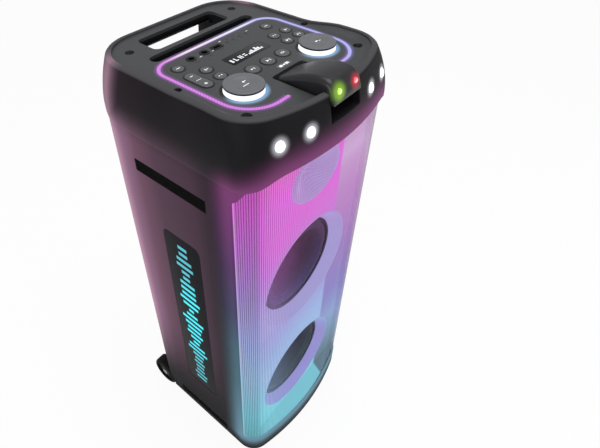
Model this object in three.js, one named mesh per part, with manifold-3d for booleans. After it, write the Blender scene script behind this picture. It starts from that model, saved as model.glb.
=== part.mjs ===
// A tall party speaker on two rear wheels: a hollow cabinet with a pillow-shaped head,
// a perforated front grille over two woofers and a horn, and a control panel on top.
// Millimetres. X points to the right of the front, Y to the back and Z up from the floor.
import * as THREE from 'three';
import { mergeVertices } from 'three/addons/utils/BufferGeometryUtils.js';
import Module from 'manifold-3d';

const wasm = await Module();
wasm.setup();

const speaker = new THREE.Group();

// Sizes that several pieces share.
const seatGap = 0.3;
const overrun = 6;
const wallThickness = 4;
const rimHeight = 925;
const panelSink = 3;
const panelTop = rimHeight - panelSink;
const bodyBottom = 10;
const bottomRounding = 26;
const seamDrop = 88;
const seamHeight = panelTop - seamDrop;

// Plan outlines, measured from the middle of the plan. The rim rises and spreads towards the front.
const bodyPlan = { halfWidth: 172, front: 184, back: 158, frontRadius: 520, frontCorner: 46, backCorner: 52 };
const rimPlan = { halfWidth: 153.5, front: 177, back: 177, frontRadius: 300, frontCorner: 60, backCorner: 75 };
const headFront = 189;
const headBack = 182;
const headBackCorner = 80;
const rimRise = 7;
const rimSpread = 6.5;
const riseStart = 0;
const riseRun = 75;
const clearTop = rimHeight + rimRise + overrun;

// Counts of steps on the round stretches.
const frontSteps = 6;
const frontCornerSteps = 6;
const backCornerSteps = 6;
const sideStepShares = [0.12, 0.25, 0.37, 0.5];
const roundingSteps = 3;
const pillowSteps = 5;
const fineTurn = 24;
const plainTurn = 14;
const smallTurn = 10;
const archSteps = 6;
const cornerSteps = 4;
const tightCornerSteps = 2;

const finishes = {
  shell: new THREE.MeshStandardMaterial({ color: 0x1c1b1e, roughness: 0.55, metalness: 0 }),
  panel: new THREE.MeshStandardMaterial({ color: 0x4f5052, roughness: 0.45, metalness: 0 }),
  grille: new THREE.MeshStandardMaterial({ color: 0xc86fd2, roughness: 0.5, metalness: 0.4 }),
  baffle: new THREE.MeshStandardMaterial({ color: 0xb05fc8, roughness: 0.6, metalness: 0 }),
  cone: new THREE.MeshStandardMaterial({ color: 0x35333a, roughness: 0.8, metalness: 0 }),
  steel: new THREE.MeshStandardMaterial({ color: 0x8d9094, roughness: 0.35, metalness: 1 }),
  rubber: new THREE.MeshStandardMaterial({ color: 0x141414, roughness: 0.85, metalness: 0 }),
  gloss: new THREE.MeshStandardMaterial({ color: 0x17171a, roughness: 0.15, metalness: 0 }),
  lamp: new THREE.MeshStandardMaterial({ color: 0xf2f4ff, roughness: 0.2, metalness: 0 }),
  greenLens: new THREE.MeshStandardMaterial({ color: 0x7fd420, roughness: 0.1, metalness: 0 }),
  redLens: new THREE.MeshStandardMaterial({ color: 0xe02038, roughness: 0.1, metalness: 0 }),
  board: new THREE.MeshStandardMaterial({ color: 0x1f4a2c, roughness: 0.6, metalness: 0 }),
};

// Turns a closed geometry into a solid that can be joined and cut.
function solidOf(geometry) {
  const bare = geometry.clone();
  bare.deleteAttribute('normal');
  bare.deleteAttribute('uv');
  const merged = mergeVertices(bare);
  const places = merged.attributes.position.array;
  const corners = [];
  let volume = 0;
  const a = new THREE.Vector3();
  const b = new THREE.Vector3();
  const c = new THREE.Vector3();
  for (let i = 0; i < merged.index.count; i += 3) {
    const [p, q, r] = [merged.index.getX(i), merged.index.getX(i + 1), merged.index.getX(i + 2)];
    if (p === q || q === r || r === p) continue;
    corners.push(p, q, r);
    a.fromArray(places, 3 * p);
    b.fromArray(places, 3 * q);
    c.fromArray(places, 3 * r);
    volume += a.dot(b.cross(c));
  }
  if (volume < 0) corners.reverse();
  const vertProperties = new Float32Array(places);
  const triVerts = new Uint32Array(corners);
  return new wasm.Manifold(new wasm.Mesh({ numProp: 3, vertProperties, triVerts }));
}

function geometryOf(solid) {
  const mesh = solid.getMesh();
  const geometry = new THREE.BufferGeometry();
  geometry.setAttribute('position', new THREE.BufferAttribute(new Float32Array(mesh.vertProperties), 3));
  geometry.setIndex(new THREE.BufferAttribute(new Uint32Array(mesh.triVerts), 1));
  geometry.computeVertexNormals();
  return geometry;
}

function joined(first, ...others) {
  return others.reduce((sum, other) => sum.add(other), first);
}

function cutBy(first, ...others) {
  return others.reduce((rest, other) => rest.subtract(other), first);
}

function addPiece(name, solid, finish, place = [0, 0, 0]) {
  const mesh = new THREE.Mesh(geometryOf(solid), finish);
  mesh.name = name;
  mesh.position.set(...place);
  speaker.add(mesh);
}

// A plan outline: a shallow front arc, two round front corners and two round back corners.
function planOutline(plan, inset = 0) {
  const halfWidth = plan.halfWidth - inset;
  const front = plan.front - inset;
  const back = plan.back - inset;
  const frontRadius = plan.frontRadius - inset;
  const corner = plan.frontCorner - inset;
  const backCorner = plan.backCorner - inset;
  const middleY = frontRadius - front;
  const cornerX = halfWidth - corner;
  const cornerY = middleY - Math.sqrt((frontRadius - corner) ** 2 - cornerX ** 2);
  const turn = Math.atan2(cornerX, middleY - cornerY);
  const half = [];
  for (let i = 0; i <= frontSteps; i += 1) {
    const angle = (turn * i) / frontSteps;
    half.push([frontRadius * Math.sin(angle), middleY - frontRadius * Math.cos(angle)]);
  }
  for (let i = 1; i <= frontCornerSteps; i += 1) {
    const angle = turn + ((Math.PI / 2 - turn) * i) / frontCornerSteps;
    half.push([cornerX + corner * Math.sin(angle), cornerY - corner * Math.cos(angle)]);
  }
  for (const share of sideStepShares) half.push([halfWidth, cornerY + (back - backCorner - cornerY) * share]);
  for (let i = 0; i <= backCornerSteps; i += 1) {
    const angle = (Math.PI / 2) * (i / backCornerSteps);
    half.push([halfWidth - backCorner + backCorner * Math.cos(angle), back - backCorner + backCorner * Math.sin(angle)]);
  }
  const mirrored = half.slice(1).reverse().map(([x, y]) => [-x, y]);
  return [...half, ...mirrored];
}

// The place and the outward direction on a plan outline, ahead of the side stretch, at a given x.
function planPoint(plan, x) {
  const middleY = plan.frontRadius - plan.front;
  const cornerX = plan.halfWidth - plan.frontCorner;
  const cornerY = middleY - Math.sqrt((plan.frontRadius - plan.frontCorner) ** 2 - cornerX ** 2);
  const turn = Math.atan2(cornerX, middleY - cornerY);
  const side = Math.sign(x);
  const reach = Math.abs(x);
  if (reach <= plan.frontRadius * Math.sin(turn)) {
    const angle = Math.asin(reach / plan.frontRadius);
    return { x, y: middleY - plan.frontRadius * Math.cos(angle), angle: side * angle };
  }
  const angle = Math.asin((reach - cornerX) / plan.frontCorner);
  return { x, y: cornerY - plan.frontCorner * Math.cos(angle), angle: side * angle };
}

// A plan outline with its points spread sideways and raised towards the front, by shares of the rim's own.
function risenOutline(plan, inset, spreadShare, riseShare) {
  return planOutline(plan, inset).map(([x, y]) => {
    const ahead = THREE.MathUtils.smoothstep(riseStart - y, 0, riseRun);
    return [x * (1 + (spreadShare * ahead * rimSpread) / plan.halfWidth), y, riseShare * ahead * rimRise];
  });
}

function blendPlans(from, to, share) {
  const blend = {};
  for (const key of Object.keys(from)) blend[key] = from[key] + (to[key] - from[key]) * share;
  return blend;
}

// A closed form through a stack of outlines with as many points each, every one with its height.
// A point may carry a rise of its own over that height.
function loftGeometry(rings) {
  const count = rings[0].outline.length;
  const places = [];
  for (const ring of rings) {
    for (const [x, y, rise = 0] of ring.outline) places.push(x, y, ring.height + rise);
  }
  const faces = [];
  for (let level = 0; level + 1 < rings.length; level += 1) {
    for (let i = 0; i < count; i += 1) {
      const next = (i + 1) % count;
      const low = level * count;
      const high = low + count;
      faces.push(low + i, low + next, high + next, low + i, high + next, high + i);
    }
  }
  const last = (rings.length - 1) * count;
  const bottomMiddle = places.length / 3;
  for (const ring of [rings[0], rings[rings.length - 1]]) {
    const middleX = ring.outline.reduce((sum, [x]) => sum + x, 0) / count;
    const middleY = ring.outline.reduce((sum, point) => sum + point[1], 0) / count;
    places.push(middleX, middleY, ring.height);
  }
  for (let i = 0; i < count; i += 1) {
    const next = (i + 1) % count;
    faces.push(bottomMiddle, next, i, bottomMiddle + 1, last + i, last + next);
  }
  const geometry = new THREE.BufferGeometry();
  geometry.setAttribute('position', new THREE.Float32BufferAttribute(places, 3));
  geometry.setIndex(faces);
  return geometry;
}

function loft(rings) {
  return solidOf(loftGeometry(rings));
}

function planPrism(plan, inset, bottom, top) {
  const outline = planOutline(plan, inset);
  return loft([{ outline, height: bottom }, { outline, height: top }]);
}

function block(left, right, front, back, bottom, top) {
  const box = new THREE.BoxGeometry(right - left, back - front, top - bottom);
  return solidOf(box.translate((left + right) / 2, (front + back) / 2, (bottom + top) / 2));
}

function extruded(shape, depth, steps = smallTurn) {
  return new THREE.ExtrudeGeometry(shape, { depth, bevelEnabled: false, curveSegments: steps });
}

// An outline drawn in X and Y, standing from one height to another.
function upright(shape, bottom, top, steps = smallTurn) {
  return solidOf(extruded(shape, top - bottom, steps).translate(0, 0, bottom));
}

// An outline drawn in X and Z, running from one depth to another along Y.
const standUp = new THREE.Matrix4().makeBasis(
  new THREE.Vector3(1, 0, 0), new THREE.Vector3(0, 0, 1), new THREE.Vector3(0, -1, 0));

function alongDepth(shape, front, back, steps = smallTurn) {
  return solidOf(extruded(shape, back - front, steps).applyMatrix4(standUp).translate(0, back, 0));
}

// An outline drawn in Y and Z, running from one side to another along X.
function acrossWidth(shape, left, right, steps = smallTurn) {
  const turn = new THREE.Matrix4().makeBasis(
    new THREE.Vector3(0, 1, 0), new THREE.Vector3(0, 0, 1), new THREE.Vector3(1, 0, 0));
  return solidOf(extruded(shape, right - left, steps).applyMatrix4(turn).translate(left, 0, 0));
}

function roundedRectangle(left, right, low, high, lowRadius, highRadius = lowRadius) {
  const shape = new THREE.Shape();
  shape.moveTo(left + lowRadius, low);
  shape.absarc(right - lowRadius, low + lowRadius, lowRadius, -Math.PI / 2, 0);
  shape.absarc(right - highRadius, high - highRadius, highRadius, 0, Math.PI / 2);
  shape.absarc(left + highRadius, high - highRadius, highRadius, Math.PI / 2, Math.PI);
  shape.absarc(left + lowRadius, low + lowRadius, lowRadius, Math.PI, 1.5 * Math.PI);
  return shape;
}

// A profile of [radius, length] pairs spun round an axis: 'z' up, 'front' towards -Y or 'side' along X.
function spun(profile, axis = 'z', steps = plainTurn, widthShare = 1) {
  const points = profile.map(([radius, length]) => new THREE.Vector2(radius, length));
  const lathe = new THREE.LatheGeometry(points, steps);
  if (axis === 'z') lathe.rotateX(Math.PI / 2);
  if (axis === 'front') lathe.rotateX(Math.PI);
  if (axis === 'side') lathe.rotateZ(-Math.PI / 2);
  return solidOf(lathe.scale(widthShare, 1, 1));
}

function rod(radius, from, to, axis = 'z', steps = plainTurn) {
  return spun([[0, from], [radius, from], [radius, to], [0, to]], axis, steps);
}

function moved(solid, x, y, z) {
  return solidOf(geometryOf(solid).translate(x, y, z));
}

// Window in the front for the grille, cut from the cabinet and the head alike.
const windowBottom = 84;
const windowDrop = 69;
const windowTop = panelTop - windowDrop;
const windowSide = -126;
const archHalfWidth = 112;
const archFall = 46;
const windowLowCorner = 14;

function windowSolid(shrink) {
  const half = bodyPlan.halfWidth + overrun;
  const low = windowBottom + shrink + windowLowCorner;
  const lowX = half - windowLowCorner;
  const high = windowTop - shrink - archFall;
  const archWidth = half - archHalfWidth;
  const shape = new THREE.Shape();
  shape.moveTo(-lowX, low - windowLowCorner);
  shape.absarc(lowX, low, windowLowCorner, -Math.PI / 2, 0);
  shape.absellipse(archHalfWidth, high, archWidth, archFall, 0, Math.PI / 2);
  shape.absellipse(-archHalfWidth, high, archWidth, archFall, Math.PI / 2, Math.PI);
  shape.absarc(-lowX, low, windowLowCorner, Math.PI, 1.5 * Math.PI);
  return alongDepth(shape, -headFront - overrun, windowSide - shrink, archSteps);
}

// Wheels and their axle at the foot of the back.
const wheelRadius = 38;
const wheelWidth = 29;
const wheelBack = 148;
const floorClearance = 3;
const wheelHeight = wheelRadius + floorClearance;
const wheelSink = 1;
const wheelOuter = bodyPlan.halfWidth - wheelSink;
const wheelInner = wheelOuter - wheelWidth;
const axleRadius = 5;
const axleRunning = 0.08;
const axleHeadRadius = 8;
const axleHeadThickness = 2;
const hubSink = 3;
const archGap = 4;
const archWall = 4;

// Pads and badge panels on the side walls.
const sidePocket = 2.5;
const padThickness = 2;
const padFront = -78;
const padBack = 76;
const padHeight = 24;
const padCorner = 2;
const upperPadDrop = 135;
const upperPadTop = panelTop - upperPadDrop;
const lowerPadTop = 73;
const badgeFront = -52;
const badgeBack = 35;
const badgeDrop = 259;
const badgeTop = panelTop - badgeDrop;
const badgeBottom = 177;
const badgeCorner = 14;

// Openings in the back wall.
const rearPanelHalfWidth = 92;
const inletHeight = 190;
const inletMargin = 40;
const rearPanelBottom = inletHeight - inletMargin;
const rearPanelTop = 470;
const rearPanelCorner = 10;
const portHeight = 660;
const portRadius = 34;
const portWall = 3;
const portFlare = 8;

function sideBox(side, front, back, bottom, top, corner, from, to) {
  const shape = roundedRectangle(front, back, bottom, top, corner);
  const near = Math.min(side * from, side * to);
  const far = Math.max(side * from, side * to);
  return acrossWidth(shape, near, far, tightCornerSteps);
}

// Cabinet: one moulding with side walls, back and bottom, open at the head and at the window.
function cabinetRings(inset, top) {
  const rings = [];
  for (let i = 0; i <= roundingSteps; i += 1) {
    const angle = (Math.PI / 2) * (i / roundingSteps);
    const outline = planOutline(bodyPlan, inset + bottomRounding * (1 - Math.sin(angle)));
    rings.push({ outline, height: bodyBottom + inset + bottomRounding * (1 - Math.cos(angle)) });
  }
  rings.push({ outline: planOutline(bodyPlan, inset), height: top });
  return rings;
}

const cabinetOuter = loft(cabinetRings(0, seamHeight));
let cabinet = cabinetOuter.subtract(loft(cabinetRings(wallThickness, seamHeight + overrun)));
for (const side of [-1, 1]) {
  const reach = side * (bodyPlan.halfWidth + overrun);
  const liner = moved(rod(wheelRadius + archGap + archWall, side * (wheelInner - archGap - archWall), reach, 'side'),
    0, wheelBack, wheelHeight);
  cabinet = cabinet.add(liner.intersect(cabinetOuter));
}
for (const side of [-1, 1]) {
  const reach = side * (bodyPlan.halfWidth + overrun);
  const arch = moved(rod(wheelRadius + archGap, side * (wheelInner - archGap), reach, 'side'), 0, wheelBack, wheelHeight);
  const pocketFloor = bodyPlan.halfWidth - sidePocket;
  const pocketMouth = bodyPlan.halfWidth + overrun;
  const pockets = [upperPadTop, lowerPadTop].map((top) => sideBox(
    side, padFront - seatGap, padBack + seatGap, top - padHeight - seatGap, top + seatGap, padCorner, pocketFloor, pocketMouth));
  const badgePocket = sideBox(
    side, badgeFront - seatGap, badgeBack + seatGap, badgeBottom - seatGap, badgeTop + seatGap, badgeCorner,
    pocketFloor, pocketMouth);
  cabinet = cutBy(cabinet, arch, badgePocket, ...pockets);
}
const axleHole = moved(rod(axleRadius + seatGap, -bodyPlan.halfWidth, bodyPlan.halfWidth, 'side'), 0, wheelBack, wheelHeight);
const rearPanelHole = alongDepth(
  roundedRectangle(-rearPanelHalfWidth, rearPanelHalfWidth, rearPanelBottom, rearPanelTop, rearPanelCorner),
  bodyPlan.back - wallThickness - overrun, bodyPlan.back + overrun, cornerSteps);
const portHole = moved(
  rod(portRadius + portWall + seatGap, -bodyPlan.back - overrun, -bodyPlan.back + wallThickness + overrun, 'front', fineTurn),
  0, 0, portHeight);
cabinet = cutBy(cabinet, windowSolid(0), axleHole, rearPanelHole, portHole);
addPiece('cabinet_shell', cabinet, finishes.shell);

// Head: rounder at the rim than the cabinet, with a handle bar over a pocket at the back.
const bulgeDrop = 75;
const pillowShare = 1.8;
const creaseRise = 8;
const rimEdge = 3;
const rimBorder = 8;
const ledgeWidth = 6;
const ledgeThickness = 3;
const coverThickness = 5;
const rearBlockFront = 60;
const recessFloor = panelTop - coverThickness;
const cavityTop = recessFloor - ledgeThickness;

const bulgePlan = { ...bodyPlan, front: headFront, back: headBack, backCorner: headBackCorner };

function headPlan(drop) {
  const share = Math.max(0, 1 - drop / bulgeDrop) ** pillowShare;
  return blendPlans(bulgePlan, rimPlan, share);
}

function pillowRings(inset, top, riseShare) {
  const rings = [];
  for (let i = 0; i <= pillowSteps; i += 1) {
    const drop = bulgeDrop + (rimHeight - top - bulgeDrop) * (i / pillowSteps);
    const share = riseShare * (1 - drop / bulgeDrop);
    rings.push({ outline: risenOutline(headPlan(drop), inset, share ** 2, share), height: rimHeight - drop });
  }
  return rings;
}

const headOuter = loft([
  { outline: planOutline(bodyPlan), height: seamHeight + seatGap },
  { outline: planOutline(bulgePlan), height: seamHeight + creaseRise },
  ...pillowRings(0, rimHeight - rimEdge, 1),
  { outline: risenOutline(rimPlan, rimEdge, 1, 1), height: rimHeight },
]);
const farSide = bodyPlan.halfWidth + overrun;
const aheadOfBlock = block(-farSide, farSide, -headFront, rearBlockFront, seamHeight - overrun, rimHeight);
const headCavity = loft([
  { outline: planOutline(bodyPlan, wallThickness), height: seamHeight - overrun },
  ...pillowRings(wallThickness, cavityTop, 0),
]).intersect(aheadOfBlock);
const ledgeOpening = planPrism(rimPlan, rimBorder + ledgeWidth, cavityTop - overrun, recessFloor + overrun)
  .intersect(aheadOfBlock);
const coverRecess = loft([recessFloor, clearTop].map((height) => (
  { outline: risenOutline(rimPlan, rimBorder, 1, 0), height })));

// Handle: a hand pocket through the top and out at the back, which leaves a bar.
const handleHalfWidth = 80;
const handleFront = 101;
const handleBack = 150;
const handleCorner = 10;
const handleDepth = 70;
const handleFloor = panelTop - handleDepth;
const barThickness = 20;
const barBottom = panelTop - barThickness;
const barChamfer = 7;
const cutSlack = 2;
const handlePocket = upright(
  roundedRectangle(-handleHalfWidth, handleHalfWidth, handleFront, handleBack, handleCorner),
  handleFloor, clearTop, cornerSteps);
const handleExit = block(
  -handleHalfWidth, handleHalfWidth, handleBack - handleCorner, headBack + overrun, handleFloor, barBottom);
const chamferShape = new THREE.Shape();
chamferShape.moveTo(handleBack - cutSlack, barBottom - cutSlack);
chamferShape.lineTo(handleBack + barChamfer + cutSlack, barBottom - cutSlack);
chamferShape.lineTo(handleBack - cutSlack, barBottom + barChamfer + cutSlack);
chamferShape.closePath();
const barEdgeCut = acrossWidth(chamferShape, -handleHalfWidth, handleHalfWidth);

// Groove across the top that holds a tablet upright.
const tabletHalfWidth = 108;
const tabletFront = 70.5;
const tabletBack = 91;
const tabletCorner = 10;
const tabletDepth = 18;
const tabletFloor = panelTop - tabletDepth;
const tabletGroove = upright(
  roundedRectangle(-tabletHalfWidth, tabletHalfWidth, tabletFront, tabletBack, tabletCorner),
  tabletFloor, clearTop, cornerSteps);

// Notch at the middle of the front, with the laser hood over it.
const notchHalfWidth = 34.5;
const notchBack = -81.5;
const notchDepth = 31;
const notchFloor = panelTop - notchDepth;
const notchWall = 4;
const notchCut = block(
  -notchHalfWidth, notchHalfWidth, -headFront - overrun, notchBack, notchFloor, clearTop);
const notchBlock = block(
  -notchHalfWidth - notchWall, notchHalfWidth + notchWall, -headFront, notchBack + notchWall,
  notchFloor - notchWall, recessFloor);

// Spot lamps on the front of the head, each square to the surface round it.
const spotPlaces = [-122, -73, 73, 122];
const spotDrop = 29;
const spotRadius = 7.5;
const spotLength = 16;
const spotProud = 1;
const spotDome = 2;
const spotTilt = THREE.MathUtils.degToRad(18);

function spotAimed(geometry, x) {
  const drop = (spotDrop + rimRise) / (1 + rimRise / bulgeDrop);
  const plan = headPlan(drop);
  const spread = 1 + ((1 - drop / bulgeDrop) ** 2 * rimSpread) / plan.halfWidth;
  const point = planPoint(plan, x / spread);
  geometry.rotateX(-spotTilt);
  geometry.rotateZ(point.angle);
  return solidOf(geometry.translate(x, point.y, rimHeight - spotDrop));
}

const spotHoles = spotPlaces.map((x) => spotAimed(
  geometryOf(rod(spotRadius + seatGap, -spotLength - overrun, overrun, 'front', smallTurn)), x));

let head = joined(cutBy(headOuter, headCavity, ledgeOpening), notchBlock.intersect(headOuter));
head = cutBy(head, coverRecess, handlePocket, handleExit, barEdgeCut, tabletGroove, notchCut, windowSolid(0), ...spotHoles);
addPiece('head_housing', head, finishes.shell);
spotPlaces.forEach((x, i) => {
  const lamp = spun([
    [0, -spotLength], [spotRadius, -spotLength], [spotRadius, 0],
    [spotRadius * 0.8, spotProud], [spotRadius * 0.4, spotProud + spotDome * 0.8], [0, spotProud + spotDome],
  ], 'front', smallTurn);
  addPiece(`spot_lamp_${i + 1}`, spotAimed(geometryOf(lamp), x), finishes.lamp);
});

// Controls: places on the panel, from the middle of the plan.
const buttonRadius = 8.8;
const wideButtonRadius = 10.8;
const buttonProud = 1.4;
const buttonEdge = 0.6;
const buttonTravel = 1.2;
const buttonRunning = 0.4;
const flangeWidth = 1.5;
const flangeThickness = 1.2;
const buttonPlaces = [
  { name: 'power_button', x: -99.5, y: 33, radius: buttonRadius },
  { name: 'left_button_1', x: -76, y: 1, radius: buttonRadius },
  { name: 'left_button_2', x: -75.5, y: -26, radius: buttonRadius },
  { name: 'centre_button_1', x: -32.5, y: -47.5, radius: wideButtonRadius },
  { name: 'centre_button_2', x: 0.5, y: -47.5, radius: wideButtonRadius },
  { name: 'centre_button_3', x: 34, y: -47.5, radius: wideButtonRadius },
  { name: 'right_button_1', x: 91.5, y: 32, radius: buttonRadius },
  { name: 'right_button_2', x: 101, y: -1, radius: buttonRadius },
  { name: 'right_button_3', x: 72, y: -1, radius: buttonRadius },
  { name: 'right_button_4', x: 102, y: -26.5, radius: buttonRadius },
  { name: 'right_button_5', x: 72.5, y: -27, radius: buttonRadius },
];
const rockerX = -104;
const rockerY = -12.5;
const rockerHalfLength = 24;

const knobPlaces = [{ name: 'left', x: -83.5, y: -76 }, { name: 'right', x: 81.5, y: -76 }];
const knobRadius = 29;
const knobTop = 12;
const capThickness = 4.5;
const capEdge = 1.2;
const capUnderside = knobTop - capThickness;
const stemRadius = 5;
const stemRunning = 0.6;
const bandRadius = 28.2;
const bandWall = 5;
const bandLean = 0.8;

const displayHalfWidth = 41;
const displayFront = -20;
const displayBack = 6;
const displayCorner = 2;

const jackPlaces = [{ name: 'jack_socket_1', x: -66.5, y: 41.5 }, { name: 'jack_socket_2', x: -39.5, y: 41.5 }];
const jackRadius = 7;
const jackBore = 4.6;
const jackBoreDepth = 16;
const jackDepth = 19;
const jackLipWidth = 1.2;
const jackLip = 0.9;
const usbX = -14.5;
const usbY = 40.5;
const usbHalfLength = 9;
const usbHalfWidth = 5;
const usbWall = 2.2;
const usbDepth = 14;
const usbCorner = 1;

const boardDrop = 8;
const boardTop = panelTop - boardDrop;
const boardThickness = 2;
const boardHalfWidth = 116;
const boardFront = -68;
const boardBack = 54;
const postRadius = 4;
const postPlaces = [[-112, -50], [-112, 50], [112, -50], [112, 50]];
const encoderRadius = 9;
const encoderRise = 3;

const screwPlaces = [[-111, 126], [111, 126], [-139.5, -9.5], [139.5, -9.5], [-127, -119], [127, -119]];
const screwHoleRadius = 3;

// Light strip: a narrow diffuser in a groove round the controls, open at the notch.
const stripHalfWidth = 126.5;
const stripFront = -129;
const stripBack = 63;
const stripFrontCorner = 52;
const stripBackCorner = 31;
const stripWidth = 5;
const stripSink = 2.5;
const stripProud = 0.4;
const stripGapHalfWidth = 55;

function stripSolid(grow, bottom, top) {
  const outline = (offset) => upright(roundedRectangle(
    -stripHalfWidth - offset, stripHalfWidth + offset, stripFront - offset, stripBack + offset,
    stripFrontCorner + offset, stripBackCorner + offset), bottom, top, archSteps);
  const gap = stripGapHalfWidth - grow;
  const opening = block(-gap, gap, stripFront - stripFrontCorner, stripFront + stripFrontCorner, bottom, top);
  return cutBy(outline(stripWidth / 2 + grow), outline(-stripWidth / 2 - grow), opening);
}

// Top cover: one plate inside the rim, with a hole for each control, dished up to the rim at the front.
const dishSteps = [[0, 1], [0.33, 0.5], [0.67, 0.14], [1, 0]];
const dishWidth = 15;
const coverInset = rimBorder + seatGap;
let cover = loft([
  { outline: risenOutline(rimPlan, coverInset, 1, 0), height: recessFloor },
  ...dishSteps.map(([widthShare, riseShare]) => (
    { outline: risenOutline(rimPlan, coverInset + dishWidth * widthShare, 1, riseShare), height: panelTop })),
]);
const throughBottom = recessFloor - overrun;
const throughTop = panelTop + rimRise + overrun;
const coverHoles = buttonPlaces.map(({ x, y, radius }) => moved(
  rod(radius + buttonRunning, throughBottom, throughTop), x, y, 0));
coverHoles.push(upright(roundedRectangle(
  rockerX - buttonRadius - buttonRunning, rockerX + buttonRadius + buttonRunning,
  rockerY - rockerHalfLength - buttonRunning, rockerY + rockerHalfLength + buttonRunning,
  buttonRadius + buttonRunning), throughBottom, throughTop, cornerSteps));
for (const { x, y } of knobPlaces) {
  coverHoles.push(moved(rod(stemRadius + stemRunning, throughBottom, throughTop, 'z', smallTurn), x, y, 0));
}
coverHoles.push(upright(roundedRectangle(
  -displayHalfWidth - seatGap, displayHalfWidth + seatGap, displayFront - seatGap, displayBack + seatGap,
  displayCorner + seatGap), throughBottom, throughTop, tightCornerSteps));
for (const { x, y } of jackPlaces) {
  coverHoles.push(moved(rod(jackRadius + seatGap, throughBottom, throughTop, 'z', smallTurn), x, y, 0));
}
coverHoles.push(upright(roundedRectangle(
  usbX - usbHalfLength - seatGap, usbX + usbHalfLength + seatGap, usbY - usbHalfWidth - seatGap,
  usbY + usbHalfWidth + seatGap, usbCorner + seatGap), throughBottom, throughTop, tightCornerSteps));
for (const [x, y] of screwPlaces) {
  coverHoles.push(moved(rod(screwHoleRadius, throughBottom, throughTop, 'z', smallTurn), x, y, 0));
}
cover = cutBy(cover, handlePocket, tabletGroove, notchCut, ...coverHoles,
  stripSolid(seatGap, panelTop - stripSink, throughTop));
for (const [x, y] of postPlaces) {
  cover = cover.add(moved(rod(postRadius, boardTop + seatGap, recessFloor + coverThickness / 2, 'z', smallTurn), x, y, 0));
}
addPiece('top_cover', cover, finishes.panel);
addPiece('light_strip', stripSolid(0, panelTop - stripSink + seatGap, panelTop + stripProud), finishes.lamp);

// Buttons: each stands a little proud and is held from below by its flange.
const buttonTop = panelTop + buttonProud;
const flangeTop = recessFloor - seatGap;
const buttonBottom = flangeTop - flangeThickness;
for (const { name, x, y, radius } of buttonPlaces) {
  const button = spun([
    [0, buttonBottom], [radius + flangeWidth, buttonBottom], [radius + flangeWidth, flangeTop], [radius, flangeTop],
    [radius, buttonTop - buttonEdge], [radius - buttonEdge, buttonTop], [0, buttonTop],
  ]);
  addPiece(name, moved(button, x, y, 0), finishes.panel);
}

function rockerSlab(grow, bottom, top) {
  const halfWidth = buttonRadius + grow;
  const halfLength = rockerHalfLength + grow;
  return upright(roundedRectangle(
    rockerX - halfWidth, rockerX + halfWidth, rockerY - halfLength, rockerY + halfLength, halfWidth),
    bottom, top, cornerSteps);
}

addPiece('rocker_button', joined(
  rockerSlab(flangeWidth, buttonBottom, flangeTop),
  rockerSlab(0, buttonBottom, buttonTop)), finishes.panel);

// Knobs: a flat cap on a stem, over a fixed ring that glows.
for (const { name, x, y } of knobPlaces) {
  const stemBottom = boardTop + encoderRise + seatGap;
  const cap = spun([
    [0, stemBottom], [stemRadius, stemBottom], [stemRadius, panelTop + capUnderside],
    [knobRadius, panelTop + capUnderside], [knobRadius, panelTop + knobTop - capEdge],
    [knobRadius - capEdge, panelTop + knobTop], [0, panelTop + knobTop],
  ], 'z', fineTurn);
  addPiece(`${name}_knob`, moved(cap, x, y, 0), finishes.panel);
  const bandBottom = panelTop + seatGap;
  const bandTop = panelTop + capUnderside - seatGap;
  const band = spun([
    [bandRadius - bandWall, bandBottom], [bandRadius, bandBottom], [bandRadius - bandLean, bandTop],
    [bandRadius - bandWall, bandTop], [bandRadius - bandWall, bandBottom],
  ], 'z', fineTurn);
  addPiece(`${name}_knob_band`, moved(band, x, y, 0), finishes.lamp);
}

// Display window and sockets.
addPiece('display_window', upright(roundedRectangle(
  -displayHalfWidth, displayHalfWidth, displayFront, displayBack, displayCorner),
  recessFloor, panelTop, tightCornerSteps), finishes.gloss);

for (const { name, x, y } of jackPlaces) {
  const jack = spun([
    [0, panelTop - jackDepth], [jackRadius, panelTop - jackDepth], [jackRadius, panelTop + seatGap],
    [jackRadius + jackLipWidth, panelTop + seatGap], [jackRadius + jackLipWidth, panelTop + jackLip],
    [jackBore, panelTop + jackLip], [jackBore, panelTop - jackBoreDepth], [0, panelTop - jackBoreDepth],
  ], 'z', smallTurn);
  addPiece(name, moved(jack, x, y, 0), finishes.rubber);
}

function usbSlab(grow, bottom, top) {
  return upright(roundedRectangle(
    usbX - usbHalfLength - grow, usbX + usbHalfLength + grow, usbY - usbHalfWidth - grow, usbY + usbHalfWidth + grow,
    usbCorner), bottom, top, tightCornerSteps);
}

addPiece('usb_socket', cutBy(
  joined(usbSlab(0, panelTop - usbDepth, panelTop + jackLip),
    usbSlab(jackLipWidth, panelTop + seatGap, panelTop + jackLip)),
  usbSlab(-usbWall, panelTop - usbDepth + usbWall, panelTop + overrun)), finishes.rubber);

// Control board under the cover, with the knobs' encoders and holes for the deep sockets.
let board = block(-boardHalfWidth, boardHalfWidth, boardFront, boardBack, boardTop - boardThickness, boardTop);
for (const { x, y } of jackPlaces) {
  board = board.subtract(moved(rod(jackRadius + seatGap, panelTop - jackDepth, panelTop, 'z', smallTurn), x, y, 0));
}
board = board.subtract(usbSlab(seatGap, panelTop - usbDepth - overrun, panelTop));
for (const { x, y } of knobPlaces) {
  board = board.add(moved(
    rod(encoderRadius, boardTop - boardThickness, boardTop + encoderRise, 'z', smallTurn), x, y, 0));
}
addPiece('control_board', board, finishes.board);

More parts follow.
